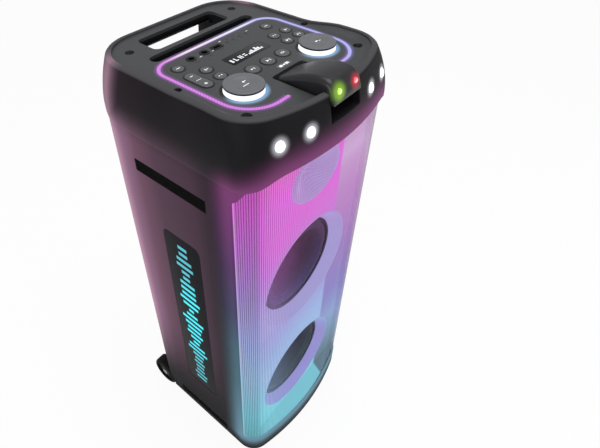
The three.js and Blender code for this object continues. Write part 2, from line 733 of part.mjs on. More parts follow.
// Laser hood: a spout that rises out of the notch and turns down at the front.
const hoodStations = [
  { y: -82, halfWidth: 20, top: -4, bottom: -20 },
  { y: -96, halfWidth: 22, top: 3, bottom: -18 },
  { y: -112, halfWidth: 25, top: 11, bottom: -15 },
  { y: -128, halfWidth: 28, top: 18, bottom: -12 },
  { y: -144, halfWidth: 31, top: 23, bottom: -9 },
  { y: -160, halfWidth: 32.5, top: 25, bottom: -8 },
  { y: -172, halfWidth: 32.5, top: 24, bottom: -7 },
  { y: -181, halfWidth: 32.5, top: 20, bottom: -7 },
  { y: -185.5, halfWidth: 32, top: 16, bottom: -7 },
];
const hoodShoulderShare = 0.35;
const hoodSquareShare = 0.5;
const hoodSteps = 12;

function hoodOutline({ halfWidth, top, bottom }) {
  const outline = [[halfWidth, bottom]];
  for (let i = 0; i <= hoodSteps; i += 1) {
    const angle = Math.PI * (i / hoodSteps);
    const across = Math.cos(angle);
    const up = Math.sin(angle) ** hoodSquareShare;
    const rise = hoodShoulderShare + (1 - hoodShoulderShare) * up;
    outline.push([halfWidth * across, bottom + (top - bottom) * rise]);
  }
  outline.push([-halfWidth, bottom]);
  return outline;
}

const lensRadius = 4;
const lensLength = 7;
const lensPlaces = [{ name: 'laser_lens_green', x: -19, finish: finishes.greenLens },
  { name: 'laser_lens_red', x: 19, finish: finishes.redLens }];
const lensRise = 9;
const hoodFront = hoodStations[hoodStations.length - 1].y;
let hood = solidOf(loftGeometry(hoodStations.map((station) => ({ outline: hoodOutline(station), height: -station.y })))
  .applyMatrix4(standUp).translate(0, 0, panelTop));
for (const { x } of lensPlaces) {
  hood = hood.subtract(moved(
    rod(lensRadius + seatGap, -hoodFront - lensLength, -hoodFront + overrun, 'front', smallTurn), x, 0, panelTop + lensRise));
}
addPiece('laser_hood', hood, finishes.gloss);
for (const { name, x, finish } of lensPlaces) {
  addPiece(name, moved(
    rod(lensRadius, -hoodFront - lensLength + seatGap, -hoodFront, 'front', smallTurn), x, 0, panelTop + lensRise), finish);
}

// Front grille: one curved sheet that follows the cabinet's plan inside the window.
const grilleInset = 2;
const grilleThickness = 2;
const grilleSheet = planPrism(bodyPlan, grilleInset, windowBottom - overrun, windowTop + overrun)
  .subtract(planPrism(bodyPlan, grilleInset + grilleThickness, windowBottom - 2 * overrun, windowTop + 2 * overrun));
addPiece('front_grille', grilleSheet.intersect(windowSolid(seatGap)), finishes.grille);

// Baffle: a rear board between the side walls with a raised lit panel in front of it.
const baffleFace = -146;
const baffleBack = -112;
const baffleSink = 2;
const baffleStep = windowSide + baffleSink;
const baffleClearance = 0.7;
const baffleHalfWidth = bodyPlan.halfWidth - wallThickness - baffleClearance;
const baffleLow = 44;
const baffleHeadInset = 14;
const baffleHeadHalfWidth = bodyPlan.halfWidth - baffleHeadInset;
const baffleDrop = 56;
const baffleTop = panelTop - baffleDrop;
const raisedInset = 26;
const raisedHalfWidth = bodyPlan.halfWidth - raisedInset;
const raisedLow = 86;
const raisedMargin = 11;
const raisedHigh = windowTop - raisedMargin;
const upperWooferDrop = 388;
const upperWooferHeight = panelTop - upperWooferDrop;
const lowerWooferHeight = 204;
const hornDrop = 155;
const hornHeight = panelTop - hornDrop;
const coneForward = 0.2;

const woofer = {
  flangeRadius: 98, flangeThickness: 4, wallRadius: 92, neckRadius: 91, ledgeRadius: 86, ledgeSink: 2, mouthSink: 12,
  basketDepth: 66, basketFloor: 62, magnetRadius: 50, magnetDepth: 102, basketFootRadius: 55,
  gasketRadius: 91.6, gasketThickness: 1.5, rollOuter: 88, rollInner: 74, rollRise: 4, coneEdge: 72, coneSink: 6,
  sheet: 2, capRadius: 25, capSink: 24, capTopSink: 16, coneFoot: 32, formerSink: 36,
};
const lightRingFoot = 103;
const lightRingMouth = 115;
const lightRingWall = 3;
const horn = { flangeRadius: 48, flangeThickness: 4, mouthRadius: 43, throatRadius: 12, depth: 34, wall: 2.5, wideShare: 1.3 };
const hornDriverRadius = 34;
const hornDriverLength = 40;

let baffle = joined(
  block(-baffleHalfWidth, baffleHalfWidth, baffleStep, baffleBack, baffleLow, seamHeight),
  block(-baffleHeadHalfWidth, baffleHeadHalfWidth, baffleStep, baffleBack, baffleLow, baffleTop),
  block(-raisedHalfWidth, raisedHalfWidth, baffleFace, baffleStep + cutSlack, raisedLow, raisedHigh));
const wooferHole = rod(
  woofer.wallRadius + seatGap, -baffleBack - overrun, -baffleFace + overrun, 'front', fineTurn);
const lightRingHole = spun([
  [0, -baffleStep], [lightRingFoot + seatGap, -baffleStep], [lightRingMouth + seatGap, -baffleFace],
  [lightRingMouth + seatGap, -baffleFace + overrun], [0, -baffleFace + overrun],
], 'front', fineTurn);
for (const height of [upperWooferHeight, lowerWooferHeight]) {
  baffle = cutBy(baffle, moved(wooferHole, 0, 0, height), moved(lightRingHole, 0, 0, height));
}
const hornHole = spun([
  [0, -baffleBack - overrun], [horn.mouthRadius + seatGap, -baffleBack - overrun],
  [horn.mouthRadius + seatGap, -baffleFace + overrun], [0, -baffleFace + overrun],
], 'front', fineTurn, horn.wideShare);
addPiece('front_baffle', baffle.subtract(moved(hornHole, 0, 0, hornHeight)), finishes.baffle);

// Woofers: basket and magnet in one, a paper cone with its surround, and a lit funnel round each.
function wooferFrame() {
  const w = woofer;
  return spun([
    [0, -w.magnetDepth], [w.magnetRadius, -w.magnetDepth], [w.magnetRadius, -w.basketDepth],
    [w.basketFootRadius, -w.basketDepth], [w.neckRadius, -w.mouthSink], [w.neckRadius, seatGap],
    [w.flangeRadius, seatGap], [w.flangeRadius, w.flangeThickness], [w.wallRadius, w.flangeThickness],
    [w.wallRadius, -w.ledgeSink], [w.ledgeRadius, -w.ledgeSink], [w.ledgeRadius, -w.mouthSink],
    [w.magnetRadius, -w.basketFloor], [0, -w.basketFloor],
  ], 'front', fineTurn);
}

function wooferCone() {
  const w = woofer;
  const seat = seatGap - w.ledgeSink;
  return spun([
    [0, -w.formerSink], [w.capRadius - w.sheet, -w.formerSink], [w.coneEdge, -w.coneSink - w.sheet],
    [w.rollInner + w.sheet, -w.rollRise - w.sheet / 2], [(w.rollInner + w.rollOuter) / 2, w.rollRise - w.sheet],
    [w.rollOuter - w.sheet, seat], [w.gasketRadius, seat], [w.gasketRadius, seat + w.gasketThickness],
    [w.rollOuter, seat + w.gasketThickness], [w.rollOuter - w.sheet, w.rollRise],
    [w.rollInner + 2 * w.sheet, w.rollRise], [w.rollInner, -w.rollRise], [w.coneEdge, -w.coneSink],
    [w.capRadius, -w.coneFoot], [w.capRadius, -w.capSink], [w.capRadius / 2, -(w.capSink + w.capTopSink) / 2],
    [0, -w.capTopSink],
  ], 'front', fineTurn);
}

const wooferPlaces = [{ name: 'upper_woofer', height: upperWooferHeight }, { name: 'lower_woofer', height: lowerWooferHeight }];
for (const { name, height } of wooferPlaces) {
  addPiece(`${name}_frame`, moved(wooferFrame(), 0, baffleStep, height), finishes.steel);
  addPiece(`${name}_cone`, moved(wooferCone(), 0, baffleStep - coneForward, height), finishes.cone);
  const ring = spun([
    [lightRingFoot - lightRingWall, -baffleStep + seatGap], [lightRingFoot, -baffleStep + seatGap],
    [lightRingMouth, -baffleFace], [lightRingMouth - lightRingWall, -baffleFace],
    [lightRingFoot - lightRingWall, -baffleStep + seatGap],
  ], 'front', fineTurn);
  addPiece(`${name}_light_ring`, moved(ring, 0, 0, height), finishes.lamp);
}

// Horn: an oval flare with its compression driver behind the throat.
const hornInside = [];
const hornOutside = [];
const hornSteps = 5;
for (let i = 0; i <= hornSteps; i += 1) {
  const share = i / hornSteps;
  const radius = horn.throatRadius + (horn.mouthRadius - horn.wall - horn.throatRadius) * share ** 2;
  hornInside.unshift([radius, -horn.depth + (horn.depth + horn.flangeThickness) * share]);
  hornOutside.push([radius + horn.wall, -horn.depth + (horn.depth - seatGap) * share]);
}
addPiece('tweeter_horn', moved(spun([
  ...hornOutside, [horn.mouthRadius, seatGap], [horn.flangeRadius, seatGap], [horn.flangeRadius, horn.flangeThickness],
  ...hornInside, hornOutside[0],
], 'front', fineTurn, horn.wideShare), 0, baffleFace, hornHeight), finishes.gloss);
addPiece('tweeter_driver', moved(
  rod(hornDriverRadius, -horn.depth - seatGap - hornDriverLength, -horn.depth - seatGap, 'front'),
  0, baffleFace, hornHeight), finishes.steel);

// Bass port: a flared tube through the back wall.
const portLength = 110;
const portLipThickness = 3;
const portOuter = portRadius + portWall;
addPiece('bass_port', moved(spun([
  [portRadius, portLength], [portOuter, portLength], [portOuter, -seatGap], [portOuter + portFlare, -seatGap],
  [portOuter + portFlare, -portLipThickness], [portRadius + portFlare / 2, -portLipThickness],
  [portRadius, portFlare], [portRadius, portLength],
], 'front', fineTurn), 0, bodyPlan.back, portHeight), finishes.rubber);

// Rear panel with cooling ribs, the mains inlet and the amplifier board behind it.
const rearPanelThickness = 4;
const ribProud = 4;
const ribHalfWidth = 1.5;
const ribPitch = 12;
const ribCount = 11;
const ribBottom = 290;
const ribTop = 440;
const inletX = 0;
const inletHalfWidth = 16;
const inletHalfHeight = 12;
const inletWall = 3;
const inletDepth = 20;
const inletLip = 3;
const inletCorner = 4;
const amplifierHalfWidth = 75;
const amplifierBottom = 250;
const amplifierTop = 440;
const amplifierGap = 14;
const amplifierThickness = 2;
const partsDepth = 26;
const panelFront = bodyPlan.back - rearPanelThickness;
const amplifierBack = panelFront - amplifierGap;

let rearPanel = alongDepth(roundedRectangle(
  -rearPanelHalfWidth + seatGap, rearPanelHalfWidth - seatGap, rearPanelBottom + seatGap, rearPanelTop - seatGap,
  rearPanelCorner - seatGap), panelFront, bodyPlan.back, cornerSteps);
for (let i = 0; i < ribCount; i += 1) {
  const x = (i - (ribCount - 1) / 2) * ribPitch;
  rearPanel = rearPanel.add(block(
    x - ribHalfWidth, x + ribHalfWidth, panelFront, bodyPlan.back + ribProud, ribBottom, ribTop));
}
for (const [x, z] of [[-1, amplifierBottom + ribPitch], [1, amplifierBottom + ribPitch],
  [-1, amplifierTop - ribPitch], [1, amplifierTop - ribPitch]]) {
  const postX = x * (amplifierHalfWidth - ribPitch);
  rearPanel = rearPanel.add(moved(
    rod(postRadius, -panelFront - cutSlack, -amplifierBack - seatGap, 'front', smallTurn), postX, 0, z));
}

function inletSlab(grow, front, back) {
  return alongDepth(roundedRectangle(
    inletX - inletHalfWidth - grow, inletX + inletHalfWidth + grow, inletHeight - inletHalfHeight - grow,
    inletHeight + inletHalfHeight + grow, inletCorner), front, back, tightCornerSteps);
}

const inletFront = bodyPlan.back - inletDepth;
addPiece('rear_panel', rearPanel.subtract(inletSlab(seatGap, panelFront - overrun, bodyPlan.back + overrun)), finishes.shell);
addPiece('mains_inlet', cutBy(
  joined(inletSlab(0, inletFront, bodyPlan.back + inletLip), inletSlab(inletLip, bodyPlan.back + seatGap, bodyPlan.back + inletLip)),
  inletSlab(-inletWall, inletFront + inletWall, bodyPlan.back + inletLip + overrun)), finishes.rubber);
addPiece('amplifier_board', joined(
  block(-amplifierHalfWidth, amplifierHalfWidth, amplifierBack - amplifierThickness, amplifierBack, amplifierBottom, amplifierTop),
  block(-amplifierHalfWidth / 2, amplifierHalfWidth / 2, amplifierBack - partsDepth, amplifierBack,
    amplifierBottom + partsDepth, amplifierTop - partsDepth)), finishes.board);

// Battery pack on the cabinet's floor.
const batteryHalfWidth = 85;
const batteryFront = 10;
const batteryBack = 90;
const batteryHeight = 95;
const cavityFloor = bodyBottom + wallThickness;
addPiece('battery_pack', block(
  -batteryHalfWidth, batteryHalfWidth, batteryFront, batteryBack, cavityFloor + seatGap, cavityFloor + batteryHeight),
finishes.rubber);

// Axle: a steel rod through the cabinet with a head at each end, which keeps the wheels on.
const headBase = wheelOuter - hubSink + seatGap;
const axle = spun([
  [0, -headBase - axleHeadThickness], [axleHeadRadius, -headBase - axleHeadThickness], [axleHeadRadius, -headBase],
  [axleRadius, -headBase], [axleRadius, headBase], [axleHeadRadius, headBase],
  [axleHeadRadius, headBase + axleHeadThickness], [0, headBase + axleHeadThickness],
], 'side', fineTurn);
addPiece('wheel_axle', moved(axle, 0, wheelBack, wheelHeight), finishes.steel);

// Wheels: a moulded hub and a rubber tread with round shoulders.
const boreRadius = axleRadius + axleRunning;
const hubRadius = 13;
const webSink = 5;
const treadInner = 28;
const shoulder = 5;
for (const [name, side] of [['left_wheel', -1], ['right_wheel', 1]]) {
  const outer = wheelOuter;
  const inner = wheelInner;
  const profile = [
    [boreRadius, inner], [hubRadius, inner], [hubRadius, inner + webSink], [treadInner, inner + webSink],
    [treadInner, inner], [wheelRadius - shoulder, inner], [wheelRadius, inner + shoulder],
    [wheelRadius, outer - shoulder], [wheelRadius - shoulder, outer], [treadInner, outer],
    [treadInner, outer - webSink], [hubRadius, outer - webSink], [hubRadius, outer - hubSink],
    [boreRadius, outer - hubSink], [boreRadius, inner],
  ].map(([radius, x]) => [radius, side * x]);
  addPiece(name, moved(spun(profile, 'side', fineTurn), 0, wheelBack, wheelHeight), finishes.rubber);
}

// Feet: two rubber bars under the flat of the bottom.
const footHalfLength = 105;
const footWidth = 22;
const footFront = -130;
const footBack = 58;
const footEdge = 2;
for (const [name, front] of [['front_foot', footFront], ['rear_foot', footBack]]) {
  const shape = roundedRectangle(-footHalfLength, footHalfLength, front, front + footWidth, footWidth / 2);
  addPiece(name, upright(shape, 0, bodyBottom - seatGap, cornerSteps), finishes.rubber);
}

// Side pads and badge panels, seated in their pockets.
const pocketSeat = bodyPlan.halfWidth - sidePocket + seatGap;
for (const [name, side] of [['left', -1], ['right', 1]]) {
  for (const [level, top] of [['upper', upperPadTop], ['lower', lowerPadTop]]) {
    addPiece(`${name}_${level}_pad`, sideBox(
      side, padFront, padBack, top - padHeight, top, padCorner, pocketSeat, pocketSeat + padThickness), finishes.rubber);
  }
  addPiece(`${name}_badge_panel`, sideBox(
    side, badgeFront, badgeBack, badgeBottom, badgeTop, badgeCorner, pocketSeat, pocketSeat + padThickness), finishes.gloss);
}

// The origin is on the floor, under the middle of the whole speaker.
speaker.position.y = (headFront - (wheelBack + wheelRadius)) / 2;

export default speaker;
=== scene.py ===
import math

import bmesh
import bpy
from mathutils import Matrix, Vector


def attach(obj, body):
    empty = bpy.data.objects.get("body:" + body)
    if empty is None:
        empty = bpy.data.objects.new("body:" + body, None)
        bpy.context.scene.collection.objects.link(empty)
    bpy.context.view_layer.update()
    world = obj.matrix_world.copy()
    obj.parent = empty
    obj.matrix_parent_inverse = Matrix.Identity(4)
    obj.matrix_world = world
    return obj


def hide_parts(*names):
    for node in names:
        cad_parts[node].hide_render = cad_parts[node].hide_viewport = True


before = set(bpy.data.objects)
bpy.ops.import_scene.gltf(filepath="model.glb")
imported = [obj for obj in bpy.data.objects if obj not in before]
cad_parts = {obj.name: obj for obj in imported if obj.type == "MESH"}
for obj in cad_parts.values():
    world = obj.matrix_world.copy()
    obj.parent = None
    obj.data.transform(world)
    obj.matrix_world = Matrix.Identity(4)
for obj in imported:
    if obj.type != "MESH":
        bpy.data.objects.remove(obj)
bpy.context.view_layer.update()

scene = bpy.context.scene
scene.view_settings.view_transform = "Standard"

TURNED, RAISED = math.radians(-49.77), math.radians(41.25)
away = Vector((math.sin(TURNED) * math.cos(RAISED), -math.cos(TURNED) * math.cos(RAISED), math.sin(RAISED)))
across = Vector((0, 0, 1)).cross(away).normalized()
camera_place = Vector((-0.5005, -0.4535, 1.247))
camera = bpy.data.objects.new("camera", bpy.data.cameras.new("camera"))
scene.collection.objects.link(camera)
camera.matrix_world = Matrix((*zip(across, away.cross(across), away, camera_place), (0, 0, 0, 1)))
camera.data.lens = 29.22
camera.data.sensor_width = 36
camera.data.shift_x = 0.0677
camera.data.shift_y = -0.0612
camera.data.clip_start = 0.01
scene.camera = camera

for name, place, aim, power, width in (
        ("overhead_lamp", (0.3, -0.2, 2.9), (0, 0, 0.9), 26, 1.6),
        ("left_lamp", (-2.2, -0.4, 1.5), (0, 0, 0.6), 14, 1.4),
        ("front_lamp", (0.6, -2.6, 1.4), (0, 0, 0.6), 10, 1.4)):
    lamp = bpy.data.objects.new(name, bpy.data.lights.new(name, "AREA"))
    scene.collection.objects.link(lamp)
    lamp.data.energy = power
    lamp.data.size = width
    lamp.location = place
    lamp.rotation_euler = (Vector(aim) - Vector(place)).to_track_quat("-Z", "Y").to_euler()


def shade(code):
    """A written colour such as 1c1b1e as linear red, green and blue."""
    values = [int(code[i:i + 2], 16) / 255 for i in (0, 2, 4)]
    return [v / 12.92 if v <= 0.04045 else ((v + 0.055) / 1.055) ** 2.4 for v in values] + [1]


def feed(node, terms):
    """Gives a node's inputs other nodes' values, written colours or numbers."""
    for label, term in terms.items():
        if isinstance(term, Term):
            term.tree.links.new(term.socket, node.inputs[label])
        else:
            node.inputs[label].default_value = shade(term) if isinstance(term, str) else term


def step(tree, kind, output, terms=None, **settings):
    """A shader node with its settings and inputs, as the term of one of its outputs."""
    node = tree.nodes.new("ShaderNode" + kind)
    for label, setting in settings.items():
        setattr(node, label, setting)
    feed(node, terms or {})
    return Term(tree, node.outputs[output])


def maths(operation, turned=False):
    """A sum that a term takes part in, as the last of its parts where it is turned."""
    def answer(self, *others):
        terms = (*others, self) if turned else (self, *others)
        return step(self.tree, "Math", "Value", dict(enumerate(terms)), operation=operation)
    return answer


class Term:
    """A value in a tree of shader nodes, which can stand in a sum as a number does."""

    def __init__(self, tree, socket):
        self.tree = tree
        self.socket = socket

    __add__ = maths("ADD")
    __radd__ = maths("ADD", turned=True)
    __sub__ = maths("SUBTRACT")
    __rsub__ = maths("SUBTRACT", turned=True)
    __mul__ = maths("MULTIPLY")
    __truediv__ = maths("DIVIDE")
    __pow__ = maths("POWER")
    __abs__ = maths("ABSOLUTE")
    __lt__ = maths("LESS_THAN")
    __gt__ = maths("GREATER_THAN")
    at_least = maths("MAXIMUM")
    at_most = maths("MINIMUM")
    root = maths("SQRT")
    wave = maths("SINE")


world = bpy.data.worlds.new("studio")
scene.world = world
world.use_nodes = True
room = world.node_tree.nodes["Background"]
seen = step(world.node_tree, "LightPath", "Is Camera Ray")
feed(room, {"Color": "ffffff", "Strength": seen * 0.5 + 0.5})


def material(name, colour, roughness, specular, metallic=0.0):
    """A new material, and its Principled shader."""
    made = bpy.data.materials.new(name)
    made.use_nodes = True
    shader = made.node_tree.nodes["Principled BSDF"]
    feed(shader, {"Base Color": colour, "Roughness": roughness, "Specular IOR Level": specular,
                  "Metallic": metallic})
    return made, shader


MIDDLE = 1.5


def shape(name, points, faces, angle=32):
    """A mesh of points in millimetres, measured from the middle of the cabinet's plan."""
    mesh = bpy.data.meshes.new(name)
    mesh.from_pydata([(x / 1000, (y + MIDDLE) / 1000, z / 1000) for x, y, z in points], [], faces)
    mesh.update()
    thing = bpy.data.objects.new(name, mesh)
    scene.collection.objects.link(thing)
    return smooth(thing, angle)


def smooth(thing, angle):
    """Shades a piece smoothly, apart from edges sharper than an angle."""
    thing.data.shade_smooth()
    thing.data.set_sharp_from_angle(angle=math.radians(angle))
    return thing


FLOOR_REACH = 9000
floor = shape("floor", [(-FLOOR_REACH, -FLOOR_REACH, 0), (FLOOR_REACH, -FLOOR_REACH, 0),
                        (FLOOR_REACH, FLOOR_REACH, 0), (-FLOOR_REACH, FLOOR_REACH, 0)], [(0, 1, 2, 3)])
floor_finish, shader = material("floor paint", "ffffff", 0.9, 0.1)
tree = floor_finish.node_tree
plain_white = step(tree, "Emission", "Emission")
paleness = step(tree, "LightPath", "Is Camera Ray") * 0.93
own_look = Term(tree, shader.outputs["BSDF"])
mixed = step(tree, "MixShader", "Shader", {"Fac": paleness, 1: own_look, 2: plain_white})
feed(tree.nodes["Material Output"], {"Surface": mixed})
floor.data.materials.append(floor_finish)

# The cabinet: one thick-walled black moulding with a fine matt grain, open at the head and
# at the front. Coloured light from the grille washes over its front corner and its side.
FRONT_STEPS, CORNER_STEPS, SIDE_STEPS = 20, 14, 12
BODY_PLAN = dict(half_width=172, front=184, back=158, front_radius=520, front_corner=46, back_corner=52)
PANEL_TOP, RIM = 922, 925
SEAM = PANEL_TOP - 88


def arc_middles(plan, inset=0):
    """Where the middles of the front arc and of the front corner lie, and the turn between them."""
    radius, corner = plan["front_radius"] - inset, plan["front_corner"] - inset
    middle = radius - plan["front"] + inset
    corner_x = plan["half_width"] - inset - corner
    corner_y = middle - math.sqrt((radius - corner) ** 2 - corner_x ** 2)
    return radius, corner, middle, corner_x, corner_y, math.atan2(corner_x, middle - corner_y)


def plan_outline(plan, inset=0):
    """The plan from above: a shallow front arc, two front corners and two back corners."""
    half_width, back, back_corner = (plan[key] - inset for key in ("half_width", "back", "back_corner"))
    radius, corner, middle, corner_x, corner_y, turn = arc_middles(plan, inset)
    half = []
    for i in range(FRONT_STEPS + 1):
        angle = turn * i / FRONT_STEPS
        half.append((radius * math.sin(angle), middle - radius * math.cos(angle)))
    for i in range(1, CORNER_STEPS + 1):
        angle = turn + (math.pi / 2 - turn) * i / CORNER_STEPS
        half.append((corner_x + corner * math.sin(angle), corner_y - corner * math.cos(angle)))
    for i in range(1, SIDE_STEPS):
        half.append((half_width, corner_y + (back - back_corner - corner_y) * i / SIDE_STEPS))
    for i in range(CORNER_STEPS + 1):
        angle = math.pi / 2 * i / CORNER_STEPS
        half.append((half_width - back_corner + back_corner * math.cos(angle),
                     back - back_corner + back_corner * math.sin(angle)))
    return half + [(-x, y) for x, y in reversed(half[1:])]


def skin(count, levels, start=0):
    """The faces of a closed form through levels with as many points each."""
    top = start + count * (levels - 1)
    faces = [tuple(reversed(range(start, start + count))), tuple(range(top, top + count))]
    for low in range(start, top, count):
        faces += [(low + i, low + (i + 1) % count, low + count + (i + 1) % count, low + count + i)
                  for i in range(count)]
    return faces


def loft(name, rings):
    """A closed form through outlines with as many points each, every one with its height."""
    points = [(*place[:2], height + sum(place[2:])) for outline, height in rings for place in outline]
    return shape(name, points, skin(len(rings[0][0]), len(rings)))


TURNS = {
    "up": lambda a, b, c: (a, b, c), "back": lambda a, b, c: (a, c, b),
    "front": lambda a, b, c: (a, -c, b), "side": lambda a, b, c: (c, a, b),
}


def prism(name, outline, start, end, along="up"):
    """An outline that runs straight up, to the back (its points are x, z) or to the side (y, z)."""
    points = [TURNS[along](a, b, c) for c in (start, end) for a, b in outline]
    faces = skin(len(outline), 2)
    if along == "back":
        faces = [tuple(reversed(face)) for face in faces]
    return shape(name, points, faces)


def rounded(left, right, low, high, radius, high_radius=None, steps=8, grow=0.0):
    """A rectangle with round corners, which can grow on all sides."""
    left, right, low, high = left - grow, right + grow, low - grow, high + grow
    high_radius = (radius if high_radius is None else high_radius) + grow
    radius += grow
    outline = []
    for x, y, round_off, start in ((right, low, radius, -90), (right, high, high_radius, 0),
                                   (left, high, high_radius, 90), (left, low, radius, 180)):
        middle_x = x - round_off if x == right else x + round_off
        middle_y = y - round_off if y == high else y + round_off
        for i in range(steps + 1):
            angle = math.radians(start + 90 * i / steps)
            outline.append((middle_x + round_off * math.cos(angle), middle_y + round_off * math.sin(angle)))
    return outline


def spun(name, profile, axis="up", place=(0, 0, 0), steps=48, wide=1.0, angle=40):
    """A profile of radius and length pairs spun round an axis: up, to the front or to the side."""
    points, faces, rows = [], [], []
    closed = profile[0] == profile[-1]
    for radius, length in profile[:-1] if closed else profile:
        count = 1 if radius == 0 else steps
        rows.append(range(len(points), len(points) + count))
        for i in range(count):
            a = 2 * math.pi * i / steps
            points.append(TURNS[axis](radius * wide * math.cos(a), radius * math.sin(a), length))
    for low, high in list(zip(rows, rows[1:])) + ([(rows[-1], rows[0])] if closed else []):
        for i in range(steps):
            j = i + 1
            corners = (low[i % len(low)], low[j % len(low)], high[j % len(high)], high[i % len(high)])
            corners = tuple(dict.fromkeys(corners))
            if len(corners) > 2:
                faces.append(corners)
    return shape(name, [(x + place[0], y + place[1], z + place[2]) for x, y, z in points], faces, angle)


def settle(thing, angle=32):
    """Turns what the modifiers make into the piece's own mesh."""
    made = bpy.data.meshes.new_from_object(thing.evaluated_get(bpy.context.evaluated_depsgraph_get()))
    thing.modifiers.clear()
    thing.data = made
    return smooth(thing, angle)


def outward(thing):
    """Turns the faces of a closed piece outwards."""
    work = bmesh.new()
    work.from_mesh(thing.data)
    bmesh.ops.recalc_face_normals(work, faces=work.faces)
    work.to_mesh(thing.data)
    work.free()
    return thing


def combine(thing, operation, others):
    """Takes closed shapes from a piece (DIFFERENCE), adds them (UNION) or keeps what both fill."""
    outward(thing)
    for other in others:
        outward(other)
        modifier = thing.modifiers.new("combine", "BOOLEAN")
        modifier.operation = operation
        modifier.solver = "EXACT"
        modifier.object = other
    settle(thing)
    for other in others:
        bpy.data.objects.remove(other)
    return thing


def cut(thing, *cutters):
    return combine(thing, "DIFFERENCE", cutters)


def soften(thing, width, steps=2, angle=50):
    """Rounds a piece's edges by a width in millimetres."""
    outward(thing)
    modifier = thing.modifiers.new("edge", "BEVEL")
    modifier.width = width / 1000
    modifier.segments = steps
    modifier.limit_method = "ANGLE"
    modifier.angle_limit = math.radians(angle)
    modifier.use_clamp_overlap = True
    return settle(thing)


def dress(thing, finish, slot=None, body="cabinet", solid=None):
    """Gives a piece its finish and its body; one with a slot stands for the solid of its name."""
    thing.data.materials.clear()
    thing.data.materials.append(finish)
    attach(thing, body)
    if slot:
        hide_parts(solid or thing.name.split(".")[0])


def node_group(name, inputs, outputs):
    """An empty group of shader nodes, its named inputs as terms, and the node of its outputs."""
    group = bpy.data.node_groups.new(name, "ShaderNodeTree")
    for label, kind, value in inputs:
        socket = group.interface.new_socket(name=label, in_out="INPUT", socket_type="NodeSocket" + kind)
        socket.default_value = value
    for label, kind in outputs:
        group.interface.new_socket(name=label, in_out="OUTPUT", socket_type="NodeSocket" + kind)
    given = {socket.name: Term(group, socket) for socket in group.nodes.new("NodeGroupInput").outputs}
    return group, given, group.nodes.new("NodeGroupOutput")


def effect(finish, group, **values):
    """Sets a group into a finish, and gives its outputs by name."""
    tree = finish.node_tree
    used = tree.nodes.new("ShaderNodeGroup")
    used.node_tree = group
    feed(used, values)
    return {socket.name: Term(tree, socket) for socket in used.outputs}


def ease(value, start, end, low=0.0, high=1.0):
    """A smooth change from low to high as a value goes from start to end."""
    terms = {"Value": value, "From Min": start, "From Max": end, "To Min": low, "To Max": high}
    return step(value.tree, "MapRange", "Result", terms, interpolation_type="SMOOTHSTEP")


def blended(share, first, second, kind="MIX"):
    """A mix of two colours; each is a written colour or a term."""
    tree = next(term.tree for term in (share, first, second) if isinstance(term, Term))
    terms = {"Factor": share, 6: first, 7: second}
    return step(tree, "Mix", 2, terms, data_type="RGBA", blend_type=kind)


def scaled(vector, factor):
    return step(vector.tree, "VectorMath", "Vector", {0: vector, "Scale": factor}, operation="SCALE")


# Moulding grain: a fine spark-eroded texture with slightly uneven colour and gloss, which
# most pieces have in their own fineness and depth.
grain, given, results = node_group(
    "moulding grain",
    [("Colour", "Color", (0.02, 0.02, 0.02, 1)), ("Uneven", "Float", 0.15), ("Fineness", "Float", 900.0),
     ("Depth", "Float", 0.25), ("Roughness", "Float", 0.5)],
    [("Colour", "Color"), ("Roughness", "Float"), ("Normal", "Vector")])


def noise(scale, detail):
    terms = {"Vector": step(grain, "TexCoord", "Object"), "Scale": scale, "Detail": detail}
    return step(grain, "TexNoise", "Fac", terms)


fine, broad = noise(given["Fineness"], 3), noise(14, 4)
bump = step(grain, "Bump", "Normal", {"Distance": 0.00025, "Strength": given["Depth"], "Height": fine})
feed(results, {
    "Colour": scaled(given["Colour"], (broad - 0.5) * given["Uneven"] + 1),
    "Roughness": (fine - 0.5) * 0.16 + given["Roughness"],
    "Normal": bump,
})


def grained(name, colour, roughness, specular, metallic=0.0, uneven=0.1, fineness=1500, depth=0.1):
    """A moulded or painted finish with a fine grain."""
    made, shader = material(name, colour, roughness, specular, metallic)
    grains = effect(made, grain, Colour=colour, Uneven=uneven, Fineness=fineness, Depth=depth,
                    Roughness=roughness)
    feed(shader, {"Base Color": grains["Colour"], "Roughness": grains["Roughness"],
                  "Normal": grains["Normal"]})
    return made


def glowing(finish, colour, strength=1.0):
    """Gives a finish light of its own, in a written colour or a term's."""
    feed(finish.node_tree.nodes["Principled BSDF"], {"Emission Color": colour, "Emission Strength": strength})
    return finish


# Light from the grille on the shell: strongest at the window's edge, magenta above and teal
# below, with a mauve wash along the side walls towards the back.
WINDOW_LOW, WINDOW_HIGH, WINDOW_SIDE = 84, 853, -126
WINDOW_CORNER, CORNER_START = 14, 164
ARCH_START, ARCH_WIDE, ARCH_HIGH, ARCH_FALL = 112, 66, 46, 34
LIGHT_TOP, EDGE_REACH = 935, 62
NOTCH_WIDE, NOTCH_LOW = 35, 889.5


def parts_of(vector):
    """A vector's three numbers: across, along and up."""
    return [step(vector.tree, "SeparateXYZ", axis, {"Vector": vector}) for axis in "XYZ"]


def place_of(tree):
    """The place on the piece in millimetres: across, along and up."""
    return parts_of(scaled(step(tree, "TexCoord", "Object"), 1000))


def length_of(*parts):
    """The length of a line from its parts across, along or up."""
    return sum(part * part for part in parts).root()


def graded(value, stops, start=0, end=LIGHT_TOP):
    """Colours along a value: each stop is a place between start and end, and a written colour."""
    ramp = step(value.tree, "ValToRGB", "Color", {"Fac": (value - start) / (end - start)})
    band = ramp.socket.node.color_ramp
    while len(band.elements) > 1:
        band.elements.remove(band.elements[-1])
    for i, (place, colour) in enumerate(stops):
        share = (place - start) / (end - start)
        element = band.elements[0] if i == 0 else band.elements.new(share)
        element.position = share
        element.color = shade(colour)
    return ramp


